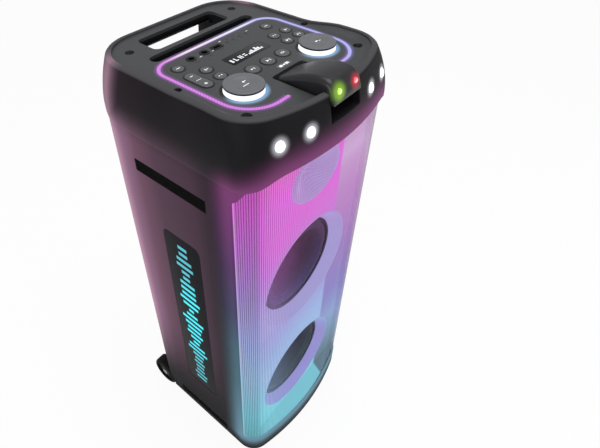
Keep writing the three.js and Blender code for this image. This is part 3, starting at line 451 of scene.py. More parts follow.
glow, given, results = node_group("grille light on the shell", [], [("Colour", "Color")])
x, y, z = place_of(glow)
wide = abs(x)
reach = ((wide - ARCH_START) / ARCH_WIDE).at_least(0)
above = (z - (WINDOW_HIGH - reach * reach * ARCH_FALL)).at_least(0)
behind = (y - (WINDOW_SIDE + MIDDLE)).at_least(0)
below = (WINDOW_LOW - z).at_least(0)
near = ease(length_of(above, behind, below), 0, EDGE_REACH, 1, 0) ** 2.1
in_notch = (wide < NOTCH_WIDE) * (z > NOTCH_LOW)
edge_colour = graded(z, [
    (0, "2e373e"), (79, "62899c"), (333, "416775"), (450, "40606f"), (560, "3e3f60"), (670, "502f60"),
    (760, "6a326a"), (850, "78386c"), (930, "5c3050")])
wash = graded(y, [
    (-100, "000000"), (-50, "3f2838"), (25, "4c3344"), (70, "684559"), (100, "85607a"), (122, "b3889f"),
    (158, "5a4251")], -100, 160)
from_foot = ease(z, 90, 400)
from_head = ease(z, 815, 880, 1, 0.05).at_least(ease(y, 85, 140, 0, 0.8))
washed = blended(from_foot * from_head * ease(wide, 118, 160), "000000", wash)
lit = blended(near * (1 - in_notch), "000000", edge_colour)
feed(results, {"Colour": blended(1.0, washed, lit, "ADD")})

shell_finish = grained("black moulding", "131215", 0.55, 0.08, uneven=0.2, fineness=1100, depth=0.3)
glowing(shell_finish, effect(shell_finish, glow)["Colour"])

BODY_BOTTOM, BOTTOM_ROUND, BOTTOM_STEPS, WALL, SEAT = 10, 26, 8, 4, 0.3


def cabinet_rings(inset, top):
    """The cabinet's outlines from its rounded foot up to its top."""
    rings = []
    for i in range(BOTTOM_STEPS + 1):
        angle = math.pi / 2 * i / BOTTOM_STEPS
        rings.append((plan_outline(BODY_PLAN, inset + BOTTOM_ROUND * (1 - math.sin(angle))),
                      BODY_BOTTOM + inset + BOTTOM_ROUND * (1 - math.cos(angle))))
    return rings + [(plan_outline(BODY_PLAN, inset), top)]


def window_outline(steps=14):
    """The window's outline seen from the front: x, z points with an arched top."""
    outline = []
    for i in range(steps + 1):
        angle = math.radians(-90 + 90 * i / steps)
        outline.append((CORNER_START + WINDOW_CORNER * math.cos(angle),
                        WINDOW_LOW + WINDOW_CORNER + WINDOW_CORNER * math.sin(angle)))
    for i in range(steps + 1):
        angle = math.radians(90 * i / steps)
        outline.append((ARCH_START + ARCH_WIDE * math.cos(angle),
                        WINDOW_HIGH - ARCH_HIGH + ARCH_HIGH * math.sin(angle)))
    return outline + [(-x, z) for x, z in reversed(outline)]


def side_box(name, side, front, back, low, high, corner, start, end):
    """A box with round corners on a side wall, between two distances from the middle."""
    return prism(name, rounded(front, back, low, high, corner), *sorted((side * start, side * end)), "side")


AXLE = (0, 148, 41)
WHEEL_RADIUS, WHEEL_WIDTH, WHEEL_OUTER = 38, 29, 171
PAD_FRONT, PAD_BACK, PAD_HIGH = -78, 76, 24
PAD_TOPS = {"upper": 787, "lower": 73}
BADGE = (-52, 35, 177, 663)
WALL_FACE, POCKET, BEYOND = BODY_PLAN["half_width"], 2.5, 180
REAR_PANEL = (-92, 92, 150, 470, 10)
PORT_UP, PORT_RADIUS = 660, 34

cabinet = loft("cabinet", cabinet_rings(0, SEAM))
window = prism("window", window_outline(), -190, WINDOW_SIDE, "back")
CORNER_ROUND, CORNER_TOP, SLOPE_FRONT, OVER = 13, 818, -146.5, 3
turned_corner = []
for i in range(9):
    angle = math.radians(9 * i)
    turned_corner.append((WINDOW_SIDE - CORNER_ROUND * (1 - math.cos(angle)),
                          CORNER_TOP - CORNER_ROUND * (1 - math.sin(angle))))
turned_corner += [(SLOPE_FRONT, SEAM), (SLOPE_FRONT, SEAM + OVER), (WINDOW_SIDE + WALL, SEAM + OVER),
                  (WINDOW_SIDE + WALL, CORNER_TOP - CORNER_ROUND)]
CORNER_STARTS, CORNER_LONG = (-182, 150), 32
cut(window, *(prism("corner", turned_corner, start, start + CORNER_LONG, "side") for start in CORNER_STARTS))
port_seat = PORT_RADIUS + 3.3
cutters = [loft("hollow", cabinet_rings(WALL, SEAM + 6)), window,
           prism("panel_seat", rounded(*REAR_PANEL), 148, 164, "back"),
           spun("port_seat", [(0, -170), (port_seat, -170), (port_seat, -148), (0, -148)], "front",
                (0, 0, PORT_UP))]
for side in (-1, 1):
    arch = WHEEL_RADIUS + 4
    near_end, far_end = sorted((side * (WHEEL_OUTER - WHEEL_WIDTH - 4), side * BEYOND))
    cutters.append(spun("wheel_arch", [(0, near_end), (arch, near_end), (arch, far_end), (0, far_end)],
                        "side", AXLE))
    for top in PAD_TOPS.values():
        cutters.append(side_box("pad_seat", side, PAD_FRONT - SEAT, PAD_BACK + SEAT, top - PAD_HIGH - SEAT,
                                top + SEAT, 2, WALL_FACE - POCKET, BEYOND))
    cutters.append(side_box("badge_seat", side, BADGE[0] - SEAT, BADGE[1] + SEAT, BADGE[2] - SEAT,
                            BADGE[3] + SEAT, 14, WALL_FACE - POCKET, BEYOND))
cut(cabinet, *cutters)
dress(cabinet, shell_finish, "black_shell", solid="cabinet_shell")

# The head: a pillow-shaped moulding that closes the cabinet, with a hand pocket under a bar
# at the back, a groove for a tablet, and a notch in front for the laser hood.
RIM_PLAN = dict(half_width=153.5, front=177, back=177, front_radius=300, front_corner=60, back_corner=75)
BULGE_PLAN = dict(BODY_PLAN, front=188.9, back=182, back_corner=80)
RIM_RISE, RIM_SPREAD, RISE_REACH = 7, 6.5, 75
CLEAR_TOP = RIM + RIM_RISE + 6
BULGE_DROP, BULGE_POWER, CREASE_RISE, RIM_BORDER, COVER_THICK = 75, 1.8, 8, 8, 5
RECESS = PANEL_TOP - COVER_THICK


def head_plan(drop):
    """The head's plan at a drop below the rim, between the plans of its bulge and its rim."""
    share = max(0.0, 1 - drop / BULGE_DROP) ** BULGE_POWER
    return {key: size + (RIM_PLAN[key] - size) * share for key, size in BULGE_PLAN.items()}


def risen(plan, inset, spread_share=1.0, rise_share=1.0):
    """A plan outline spread and raised towards the front, by shares of what the rim has."""
    outline = []
    for x, y in plan_outline(plan, inset):
        ahead = min(max(-y / RISE_REACH, 0), 1)
        ahead = ahead * ahead * (3 - 2 * ahead)
        outline.append((x * (1 + spread_share * ahead * RIM_SPREAD / plan["half_width"]), y,
                        rise_share * ahead * RIM_RISE))
    return outline


def pillow_rings(inset, top, rise_share=1.0, steps=16):
    """The head's outlines from its widest place up to a height."""
    rings = []
    for i in range(steps + 1):
        drop = BULGE_DROP + (RIM - top - BULGE_DROP) * i / steps
        share = rise_share * (1 - drop / BULGE_DROP)
        rings.append((risen(head_plan(drop), inset, share ** 2, share), RIM - drop))
    return rings


SPOT_DROP, SPOT_TILT = 29, math.radians(-18)


def spot_frame(x):
    """Where a spot lamp sits on the head's front and how it is turned, from its place across."""
    drop = (SPOT_DROP + RIM_RISE) / (1 + RIM_RISE / BULGE_DROP)
    plan = head_plan(drop)
    unspread = x / (1 + (1 - drop / BULGE_DROP) ** 2 * RIM_SPREAD / plan["half_width"])
    radius, corner, middle, corner_x, corner_y, turn = arc_middles(plan)
    if abs(unspread) <= radius * math.sin(turn):
        angle = math.asin(abs(unspread) / radius)
        y = middle - radius * math.cos(angle)
    else:
        angle = math.asin((abs(unspread) - corner_x) / corner)
        y = corner_y - corner * math.cos(angle)
    return (Matrix.Translation((x / 1000, (y + MIDDLE) / 1000, (RIM - SPOT_DROP) / 1000))
            @ Matrix.Rotation(math.copysign(angle, x), 4, "Z") @ Matrix.Rotation(SPOT_TILT, 4, "X"))


def at_spot(thing, x):
    """Moves a piece made at the middle, aimed to the front, onto the head."""
    thing.data.transform(spot_frame(x) @ Matrix.Translation((0, -MIDDLE / 1000, 0)))
    return thing


SPOTS = (-122, -73, 73, 122)
HAND = (-80, 80, 101, 150, 10)
HAND_FLOOR, HAND_EXIT_TOP = PANEL_TOP - 70, PANEL_TOP - 20
GROOVE = (-108, 108, 70.5, 91, 10)
NOTCH = (-34.5, 34.5, -200, -81.5, 0.1, 5)
NOTCH_FLOOR = PANEL_TOP - 31
head_form = [(plan_outline(BODY_PLAN), SEAM + SEAT), (plan_outline(BULGE_PLAN), SEAM + CREASE_RISE)]
head_form += pillow_rings(0, RIM - 3)
head_form += [(risen(RIM_PLAN, 0.6), RIM - 1.2), (risen(RIM_PLAN, 3), RIM), (risen(RIM_PLAN, 9), RIM)]
head = loft("head", head_form)
HOLLOW_LOW = SEAM - 6
hollow_form = [(plan_outline(BODY_PLAN, WALL), HOLLOW_LOW)] + pillow_rings(WALL, RECESS - 3, 0)
hollow = loft("head_hollow", hollow_form)
ahead = prism("ahead", [(-180, -195), (180, -195), (180, 60), (-180, 60)], HOLLOW_LOW, RIM)
combine(hollow, "INTERSECT", [ahead])
cut(hollow, prism("notch_wall", rounded(NOTCH[0] - WALL, NOTCH[1] + WALL, NOTCH[2], NOTCH[3] + WALL, 0.1, 5),
                  NOTCH_FLOOR - WALL, CLEAR_TOP))
cut(head, hollow,
    loft("cover_seat", [(risen(RIM_PLAN, RIM_BORDER, 1, 0), height) for height in (RECESS, CLEAR_TOP)]),
    prism("hand_pocket", rounded(*HAND), HAND_FLOOR, CLEAR_TOP),
    prism("hand_exit", [(-80, 140), (80, 140), (80, 190), (-80, 190)], HAND_FLOOR, HAND_EXIT_TOP),
    prism("bar_edge", [(148, 900), (148, 911), (159, 900)], -80, 80, "side"),
    prism("tablet_groove", rounded(*GROOVE), PANEL_TOP - 18, CLEAR_TOP),
    prism("notch", rounded(*NOTCH), NOTCH_FLOOR, CLEAR_TOP),
    prism("head_window", window_outline(), -196, WINDOW_SIDE, "back"),
    *(at_spot(spun("spot_seat", [(0, -20), (7.8, -20), (7.8, 8), (0, 8)], "front"), x) for x in SPOTS))
soften(head, 0.9, 2, 40)

# Halo of each spot lamp on the moulding round it, and of each laser lens on the hood: a mask
# that fades out from a middle.
halo, given, results = node_group(
    "halo of a lamp", [("Middle", "Vector", (0, 0, 0)), ("Reach", "Float", 16.0)], [("Mask", "Float")])
gap = length_of(*(here - lamp for here, lamp in zip(place_of(halo), parts_of(given["Middle"]))))
feed(results, {"Mask": ease(gap / given["Reach"], 0.25, 1, 1, 0) ** 1.7})


def painted_over(finish, mask, colour):
    """Lays a written colour over a finish's own where a mask is one."""
    shader = finish.node_tree.nodes["Principled BSDF"]
    own = Term(finish.node_tree, shader.inputs["Base Color"].links[0].from_socket)
    feed(shader, {"Base Color": blended(mask, own, colour)})


head_finish = grained("black head moulding", "141316", 0.5, 0.1, uneven=0.2, fineness=1100, depth=0.3)
halos = sum(effect(head_finish, halo, Middle=spot_frame(x).translation * 1000, Reach=19.0)["Mask"]
            for x in SPOTS)
glowing(head_finish, blended(halos, effect(head_finish, glow)["Colour"], "c8c8d0"))
# A lighter grey band painted along the rim's rounded top edge: a painted highlight where that edge catches
# the light.
x, y, z = place_of(head_finish.node_tree)
rim_level = ease(y, MIDDLE, MIDDLE - RISE_REACH, 0, RIM_RISE)
painted_over(head_finish, ease(z - rim_level, RIM - 4.5, RIM - 1.2), "47474a")
dress(head, head_finish, "black_shell", solid="head_housing")

# The top cover: one satin grey plate let into the rim, with a hole for each control and a
# dished edge, and light from the knobs and the strip on its face, with painted shade behind each knob and
# round each screw well.
BUTTONS = {
    "power_button": (-99.5, 33, 8.8), "left_button_1": (-76, 1, 8.8), "left_button_2": (-75.5, -26, 8.8),
    "centre_button_1": (-32.5, -47.5, 10.8), "centre_button_2": (0.5, -47.5, 10.8),
    "centre_button_3": (34, -47.5, 10.8), "right_button_1": (91.5, 32, 8.8),
    "right_button_2": (101, -1, 8.8), "right_button_3": (72, -1, 8.8),
    "right_button_4": (102, -26.5, 8.8), "right_button_5": (72.5, -27, 8.8),
}
ROCKER, ROCKER_LONG, ROCKER_WIDE = (-104, -12.5), 24, 8.8
KNOBS = {"left": (-83.5, -76), "right": (81.5, -76)}
DISPLAY = (-41, 41, -20, 6, 2)
JACKS = {"jack_socket_1": (-66.5, 41.5), "jack_socket_2": (-39.5, 41.5)}
USB = (-14.5, 40.5)
WELLS = [(-111, 126, 6.6), (111, 126, 6.6), (-139.5, -9.5, 5.2), (139.5, -9.5, 5.2), (-127, -119, 6.6),
         (127, -119, 6.6)]
WELL_FLOOR = PANEL_TOP - 3.2
STEM_HOLE, JACK_HOLE, SCREW_HOLE, PLAY = 5.6, 7.3, 3.0, 0.4
STRIP, STRIP_WIDE, STRIP_GAP, STRIP_END = (-126.5, 126.5, -129, 63, 52, 31), 5, 55, -77
THROUGH = (RECESS - 2, CLEAR_TOP)


def around(middle, half_wide, half_long, corner, steps=8, grow=0.0):
    """A rectangle with round corners round a middle."""
    x, y = middle
    return rounded(x - half_wide, x + half_wide, y - half_long, y + half_long, corner, None, steps, grow)


def pill(grow):
    return around(ROCKER, ROCKER_WIDE, ROCKER_LONG, ROCKER_WIDE, 14, grow)


def usb_outline(grow, steps=4):
    return around(USB, 9 + grow, 5 + grow, 1, steps)


def strip_piece(name, grow, low, high):
    """The band of the light strip, open at the notch."""
    reach, gap = STRIP_WIDE / 2 + grow, STRIP_GAP - grow
    opening = [(-gap, -200), (gap, -200), (gap, STRIP_END), (-gap, STRIP_END)]
    return cut(prism(name, rounded(*STRIP, steps=20, grow=reach), low, high),
               prism("inner", rounded(*STRIP, steps=20, grow=-reach), low - 1, high + 1),
               prism("opening", opening, low - 1, high + 1))


def hole(x, y, radius, steps):
    """A round hole right through the cover."""
    low, high = THROUGH
    return spun("hole", [(0, low), (radius, low), (radius, high), (0, high)], "up", (x, y, 0), steps)


DISH_WIDE, DISH_STEPS = 15, 9
cover_form = [(risen(RIM_PLAN, RIM_BORDER + SEAT, 1, 0), RECESS)]
for i in range(DISH_STEPS + 1):
    share = i / DISH_STEPS
    inset = RIM_BORDER + SEAT + DISH_WIDE * share
    cover_form.append((risen(RIM_PLAN, inset, 1, (1 - share) ** BULGE_POWER), PANEL_TOP))
cover = loft("cover", cover_form)
holes = [hole(x, y, radius + PLAY, 40) for x, y, radius in BUTTONS.values()]
holes.append(prism("rocker_hole", pill(PLAY), *THROUGH))
holes += [hole(x, y, STEM_HOLE, 32) for x, y in KNOBS.values()]
holes += [hole(x, y, JACK_HOLE, 32) for x, y in JACKS.values()]
holes += [hole(x, y, SCREW_HOLE, 24) for x, y, radius in WELLS]
holes += [prism("hole", outline, *THROUGH) for outline in (
    rounded(*DISPLAY, grow=SEAT), usb_outline(SEAT, 8), rounded(*HAND), rounded(*GROOVE), rounded(*NOTCH))]
holes += [spun("screw_well", [(0, WELL_FLOOR), (3.8, WELL_FLOOR), (radius, PANEL_TOP + 0.2),
                              (radius + 1.2, CLEAR_TOP), (0, CLEAR_TOP)], "up", (x, y, 0), 32)
          for x, y, radius in WELLS]
holes.append(strip_piece("strip_groove", SEAT, PANEL_TOP - 2.5, CLEAR_TOP))
soften(cut(cover, *holes), 0.5)

cover_finish = grained("satin grey panel", "3f4042", 0.42, 0.35, depth=0.2)
x, y, z = place_of(cover_finish.node_tree)


def from_middle(middle_x, middle_y):
    """How far a place on the panel lies from a point given on the cabinet's plan."""
    return length_of(x - middle_x, y - (middle_y + MIDDLE))


# Painted light and shade on the cover: a glow from each knob's band painted ahead of the knob, painted shade
# behind it, and painted shade round the edge of each screw well.
glows, painted_shade_rings = [], []
for middle_x, middle_y in KNOBS.values():
    distance = from_middle(middle_x, middle_y)
    ahead = ease(y, middle_y + MIDDLE + 14, middle_y + MIDDLE - 14)
    glows.append(ease(distance, 30, 37, 1, 0) * ahead)
    painted_shade_rings.append(ease(distance, 31.5, 34, 1, 0) * (1 - ahead))
painted_shade_rings += [ease(from_middle(middle_x, middle_y), radius, radius + 1.6, 1, 0)
          for middle_x, middle_y, radius in WELLS]
strip_middle, strip_half = (STRIP[2] + STRIP[3]) / 2 + MIDDLE, (STRIP[3] - STRIP[2]) / 2
round_off = ease(y, -34, -32, STRIP[4], STRIP[5])
past_x = abs(x) - STRIP[1] + round_off  # the strip's middle line is a rectangle with round corners
past_y = abs(y - strip_middle) - strip_half + round_off
inward = past_x.at_least(past_y).at_most(0)
off_strip = abs(length_of(past_x.at_least(0), past_y.at_least(0)) + inward - round_off)
in_gap = (abs(x) < STRIP_GAP + 2) * (y < STRIP_END - 3)
strip_light = ease(off_strip, 1.5, 8.5, 1, 0) * (1 - in_gap)
strip_tint = blended(ease(x, -40, 60), "7d3a94", "5b5ba8")
lit_strip = blended(strip_light, "000000", strip_tint)
glowing(cover_finish, blended(sum(glows).at_most(1), lit_strip, "76a8d4"), 0.8)
painted_over(cover_finish, sum(painted_shade_rings).at_most(1), "060607")
dress(cover, cover_finish, "panel_grey", solid="top_cover")

# The light strip: a milky diffuser that glows pink on the left, white at the back and
# lavender on the right, with a fine slanting hatch, let into the groove of the cover.
strip = soften(strip_piece("light_strip", 0, PANEL_TOP - 2.2, PANEL_TOP + 0.4), 0.3, 1)
strip_finish = material("lit strip", "3a3040", 0.4, 0.5)[0]
x, y, z = place_of(strip_finish.node_tree)
to_right, to_back = ease(x, 20, 110), ease(y, 10, 58)
whitest = ease(x, -105, -50) * ease(x, 60, 110, 1, 0.2)
tint = blended(to_back * whitest, blended(to_right, "e283ee", "b6b7f8"), "f7effd")
hatch = ease(((x - y) * 1.25).wave(), -0.2, 0.6) * (1 - to_right) * (to_back * -0.4 + 0.4)
glowing(strip_finish, blended(hatch, tint, "a45abc"), 0.85)
dress(strip, strip_finish, "lit_strip")

# Screws: a dark cross-head screw at the foot of each well in the cover, with its shank in
# the cover's hole.
screw_finish = grained("black zinc screw", "151516", 0.35, 0.5, 0.6)


def cross(middle, long, wide, low, high, along="up"):
    """The two slots of a cross-head screw, as shapes to cut out."""
    return [prism("slot", around(middle, half_x, half_y, 0.2, 2), low, high, along)
            for half_x, half_y in ((long, wide), (wide, long))]


for i, (middle_x, middle_y, radius) in enumerate(WELLS):
    screw = spun(f"panel_screw_{i + 1}", [
        (0, -5.1), (2.4, -5.1), (2.4, -3.1), (3.5, -3.1), (3.5, -2.3), (2.8, -1.7), (0, -1.5)],
        "up", (middle_x, middle_y, PANEL_TOP), 28)
    cut(screw, *cross((middle_x, middle_y), 2, 0.4, PANEL_TOP - 2.8, PANEL_TOP - 1))
    dress(screw, screw_finish)

# The push buttons and the rocker: satin grey caps with a soft edge, each inside a thin black
# ring laid on the cover, with a small plain white mark of its own.
button_finish = grained("satin grey button", "56575a", 0.4, 0.4, uneven=0.08, depth=0.15)
ring_finish = grained("black ring", "0b0b0c", 0.35, 0.4, uneven=0.05)
# The white print has a faint glow of its own: painted light that keeps it bright.
mark_finish = glowing(grained("faintly glowing white print", "e8e8ea", 0.5, 0.3, uneven=0.05, depth=0.05), "ffffff", 0.35)
BUTTON_TOP, FLANGE_TOP = PANEL_TOP + 1.4, RECESS - SEAT
PRINT_THICK, RING_TOP = 0.12, PANEL_TOP + 0.25


def printed(name, marks, height, body="cabinet", finish=mark_finish, middle=(0, 0)):
    """Flat marks in one piece: each is a form, its place from the middle and its sizes."""
    points, faces = [], []
    for form, x, y, *sizes in marks:
        outline = form(middle[0] + x, middle[1] + y, *sizes)
        faces += skin(len(outline), 2, len(points))
        points += [(*place, level) for level in (height, height + PRINT_THICK) for place in outline]
    dress(shape(name, points, faces), finish, body=body)


def bar(x, y, long, wide):
    return [(x + i * long / 2, y + j * wide / 2) for i, j in ((-1, -1), (1, -1), (1, 1), (-1, 1))]


def arrow(x, y, size):
    return [(x - size / 2, y - size / 2), (x + size / 2, y), (x - size / 2, y + size / 2)]


def dot(x, y, radius):
    turns = [math.pi * i / 8 for i in range(16)]
    return [(x + radius * math.cos(turn), y + radius * math.sin(turn)) for turn in turns]


MARKS = [
    [(bar, 0, 0, 7, 1.3)],
    [(bar, -2, 0, 1.3, 4.5), (bar, 1.5, 0, 3.6, 1.3)],
    [(dot, -2.4, 0, 1.1), (dot, 2.4, 0, 1.1)],
    [(arrow, -1.8, 0, 4), (bar, 2.4, 0, 1.2, 4)],
    [(arrow, -0.5, 0, 5), (bar, 4.2, 0, 1.2, 5)],
    [(bar, -3, 0, 1.2, 3), (bar, 0, 0, 1.2, 5), (bar, 3, 0, 1.2, 3)],
]
FLANGE_LOW = FLANGE_TOP - 1.2
for i, (name, (middle_x, middle_y, radius)) in enumerate(BUTTONS.items()):
    place = (middle_x, middle_y, 0)
    cap = spun(name, [
        (0, FLANGE_LOW), (radius + 1.5, FLANGE_LOW), (radius + 1.5, FLANGE_TOP), (radius, FLANGE_TOP),
        (radius, BUTTON_TOP - 0.9), (radius - 0.15, BUTTON_TOP - 0.45), (radius - 0.5, BUTTON_TOP - 0.12),
        (radius - 1.1, BUTTON_TOP), (radius * 0.6, BUTTON_TOP - 0.25), (0, BUTTON_TOP - 0.35)], "up", place)
    dress(cap, button_finish, "panel_grey", name + "_body")
    ring = spun(name + "_ring", [
        (radius + 0.45, PANEL_TOP), (radius + 2.7, PANEL_TOP), (radius + 2.5, RING_TOP),
        (radius + 0.7, RING_TOP), (radius + 0.45, PANEL_TOP)], "up", place)
    dress(ring, ring_finish)
    printed(name + "_mark", MARKS[i % len(MARKS)], BUTTON_TOP - 0.32, name + "_body", middle=place)

rocker = soften(prism("rocker_button", pill(0), FLANGE_TOP - 0.6, BUTTON_TOP), 0.8, 3)
flange = soften(prism("rocker_flange", pill(1.5), FLANGE_LOW, FLANGE_TOP), 0.2, 1)
dress(rocker, button_finish, "panel_grey", "rocker_button_body")
dress(flange, button_finish, body="rocker_button_body")
ring = cut(prism("rocker_ring", pill(2.3), PANEL_TOP, RING_TOP),
           prism("inside", pill(0.5), PANEL_TOP - 1, PANEL_TOP + 1))
dress(ring, ring_finish)
printed("rocker_mark", [(bar, 0, 14, 5, 1.2), (bar, 0, -14, 5, 1.2), (bar, 0, -12.5, 1.2, 1.9),
                        (bar, 0, -15.5, 1.2, 1.9), (bar, 0, 0, 9, 0.7)],
        BUTTON_TOP + 0.01, "rocker_button_body", middle=ROCKER)

# The knobs: a flat grey cap with a black lower edge that turns over a fixed milky band,
# and the band is lit white from inside.
knob_finish = grained("satin knob", "65666a", 0.36, 0.45, uneven=0.08, depth=0.12)
KNOB_TOP, KNOB_LOW = 11.1, 7.4
x, y, z = place_of(knob_finish.node_tree)
painted_over(knob_finish, ease(z, PANEL_TOP + 9.4, PANEL_TOP + 10.2, 1, 0), "09090a")
band_finish = grained("lit knob band", "b8bac4", 0.35, 0.4, uneven=0.02, depth=0.05)
glowing(band_finish, "fbfcff", 0.95)
KNOB_MARKS = {
    "left": [(bar, -2, -5.5, 11, 1.1), (dot, 1.5, 2.5, 1.7), (bar, 5, 3, 3, 1)],
    "right": [(bar, -2, 0.5, 5, 2.2), (bar, 3.5, -1.5, 4, 1.1)],
}
for side, middle in KNOBS.items():
    name = side + "_knob"
    cap = spun(name, [
        (0, -4.7), (5, -4.7), (5, KNOB_LOW), (27.6, KNOB_LOW), (28.1, KNOB_LOW + 0.4),
        (28.2, KNOB_LOW + 1), (28.2, KNOB_TOP - 1.1), (28, KNOB_TOP - 0.6), (27.4, KNOB_TOP - 0.2),
        (26.4, KNOB_TOP), (15.5, KNOB_TOP), (15.2, KNOB_TOP - 0.2), (0, KNOB_TOP - 0.2)],
        "up", (*middle, PANEL_TOP), 96)
    dress(cap, knob_finish, "panel_grey", name + "_body")
    band = spun(name + "_band", [
        (23.2, 0.3), (28.2, 0.3), (28.1, 1.5), (27.7, 4.5), (27.4, 7.2), (23.2, 7.2), (23.2, 0.3)],
        "up", (*middle, PANEL_TOP), 96)
    dress(band, band_finish, "lit_white")
    printed(name + "_mark", KNOB_MARKS[side], PANEL_TOP + KNOB_TOP - 0.24, name + "_body", middle=middle)

# The display: a dark gloss window with lit plain white bars on its face, and a small badge
# plate ahead of it with a plain mark.
display_finish = grained("dark window", "0b0b0c", 0.2, 0.3, uneven=0.05, fineness=300, depth=0.02)
window = soften(prism("display_window", rounded(*DISPLAY), RECESS, PANEL_TOP), 0.5)
dress(window, display_finish, "black_gloss")
segment_finish = grained("lit segment", "9a9ca0", 0.5, 0.3, uneven=0.02, depth=0.02)
glowing(segment_finish, "f4f6ff", 0.85)
segments = [(bar, -34, -9, 3.4, 9), (bar, -27, -9, 2, 9), (bar, -24.3, -12.2, 3, 2), (bar, -17.5, -9, 2, 9),
            (bar, -13.5, -9, 2, 9), (bar, -6, -11, 5.6, 2), (bar, -6, -6.4, 5.6, 2)]
LEVELS = (3, 6, 9, 5, 11, 8, 4)
segments += [(bar, 1.5 + 4.6 * i, -13.5 + level / 2, 3.2, level) for i, level in enumerate(LEVELS)]
printed("display_segments", segments, PANEL_TOP - 0.05, finish=segment_finish)
plate = soften(prism("mark_plate", rounded(-8, 22, -77, -66, 5.4), PANEL_TOP, PANEL_TOP + 0.35), 0.15, 1)
dress(plate, button_finish)
printed("plate_mark", [(bar, 0, -71.5, 6, 4.6), (bar, 7, -71.5, 4, 2.6), (bar, 13.5, -71.5, 6, 4.6)],
        PANEL_TOP + 0.3)

# Sockets behind the buttons: two round jack sockets and a slot, black, each with a lip on
# the cover and a few short printed bars beside it.
socket_finish = grained("black socket", "0c0c0d", 0.45, 0.35, depth=0.2)
for name, middle in JACKS.items():
    jack = spun(name, [
        (0, -19), (7, -19), (7, 0.3), (8.1, 0.3), (8.2, 0.6), (7.8, 0.9), (5.2, 0.9), (4.6, 0.3),
        (4.6, -15), (4, -16), (0, -16)], "up", (*middle, PANEL_TOP))
    dress(jack, socket_finish, "black_rubber")
socket = cut(prism("usb_socket", usb_outline(0), PANEL_TOP - 14, PANEL_TOP + 0.5),
             prism("slot", usb_outline(-2.2), PANEL_TOP - 11.8, PANEL_TOP + 8))
soften(socket, 0.25, 1)
lip = cut(prism("usb_lip", usb_outline(1.1), PANEL_TOP + 0.3, PANEL_TOP + 0.9),
          prism("inside", usb_outline(0.02), PANEL_TOP - 2, PANEL_TOP + 8))
soften(lip, 0.2, 1)
tongue = prism("usb_tongue", around(USB, 5.4, 0.9, 0.3), PANEL_TOP - 12, PANEL_TOP - 3)
soften(tongue, 0.2, 1)
dress(socket, socket_finish, "black_rubber")
dress(lip, socket_finish)
dress(tongue, grained("grey tongue", "77787a", 0.5, 0.3))
prints = [(bar, -66, 27.5, 9, 1), (bar, -39.5, 27.5, 7, 1), (bar, -14.5, 30.5, 8, 1)]
prints += [(bar, 8 + 14 * i, 40.5, 7, 1.8) for i in range(4)]
prints += [(bar, 8 + 14 * i, 35, 4.5, 0.9) for i in range(4)]
prints += [(bar, 15 + 14 * i, 47.5, 4, 0.9) for i in range(3)]
printed("panel_prints", prints, PANEL_TOP, finish=ring_finish)
printed("panel_captions", [(bar, -52, 36, 5, 0.9), (bar, -27, 36, 4, 0.9), (bar, 2, 50.5, 5, 0.9),
                           (bar, 58, 45, 4, 0.9)], PANEL_TOP)

# The laser hood: a spout of semi-gloss black that rises out of the notch and turns down at
# the front, with a green and a red lens in its face.
HOOD = [
    (-82.5, 28, -3, -20), (-92, 29, 2, -18), (-108, 30, 10, -15), (-124, 31, 17, -12), (-140, 32, 22, -9),
    (-154, 32.5, 24.5, -8), (-166, 32.5, 24.3, -7.5), (-173, 32.5, 21.5, -7), (-178, 32.3, 16, -7),
    (-181.5, 32, 8, -7), (-183.5, 31.6, 1, -7)]


def along_stations(stations, steps):
    """A smooth run through the stations, with a few steps between each two."""
    made = []
    for i in range(len(stations) - 1):
        near = [stations[max(min(i + k, len(stations) - 1), 0)] for k in (-1, 0, 1, 2)]
        for j in range(steps + (i == len(stations) - 2)):
            t = j / steps
            made.append(tuple(0.5 * (2 * b + (c - a) * t + (2 * a - 5 * b + 4 * c - d) * t * t
                                     + (3 * b - a - 3 * c + d) * t ** 3)
                              for a, b, c, d in zip(*near)))
    return made


def hood_section(half, top, bottom):
    """A flat-topped section whose upper corners are rounded."""
    round_off = min(9.0, (top - bottom) * 0.6)
    outline = [(half, bottom)]
    for start, middle_x in ((0, half - round_off), (90, round_off - half)):
        for i in range(9):
            angle = math.radians(start + 90 * i / 8)
            outline.append((middle_x + round_off * math.cos(angle),
                            top - round_off + round_off * math.sin(angle)))
    return outline + [(-half, bottom)]


stations = along_stations(HOOD, 4)
points = [(x, y, PANEL_TOP + z) for y, *sizes in stations for x, z in hood_section(*sizes)]
hood = shape("laser_hood", points, skin(len(points) // len(stations), len(stations)), 40)
LENSES = {
    "laser_lens_green": (-19, "8fe020", "f6ffd8", "green_lens"),
    "laser_lens_red": (19, "f02038", "ffc8d0", "red_lens"),
}
LENS_UP, LENS_FRONT = PANEL_TOP + 9, -181
for x, *looks in LENSES.values():
    seat = [(0, 176.5), (4.3, 176.5), (4.3, 192), (0, 192)]
    cut(hood, spun("lens_seat", seat, "front", (x, 0, LENS_UP), 32))
soften(hood, 0.9, 3)
hood_finish = grained("semi-gloss hood", "222225", 0.32, 0.4, uneven=0.12, fineness=1300, depth=0.12)
green, red = (effect(hood_finish, halo, Middle=(x, LENS_FRONT, LENS_UP), Reach=reach)["Mask"]
              for x, reach in ((-19, 21.0), (19, 17.0)))
glowing(hood_finish, blended(green, blended(red, "000000", "b01828"), "7fae14"))
dress(hood, hood_finish, "black_gloss")
for name, (x, colour, heart, slot) in LENSES.items():
    lens = spun(name, [(0, 178.6), (4, 178.6), (4, 181.6), (3.6, 182.4), (2.4, 183), (0, 183.2)],
                "front", (x, 0, LENS_UP), 32)
    lens_finish = material(name, colour, 0.12, 0.5)[0]
    toward = effect(lens_finish, halo, Middle=(x, LENS_FRONT, LENS_UP), Reach=6.0)["Mask"]
    glowing(lens_finish, blended(toward, colour, heart), 1.1)
    dress(lens, lens_finish, slot)

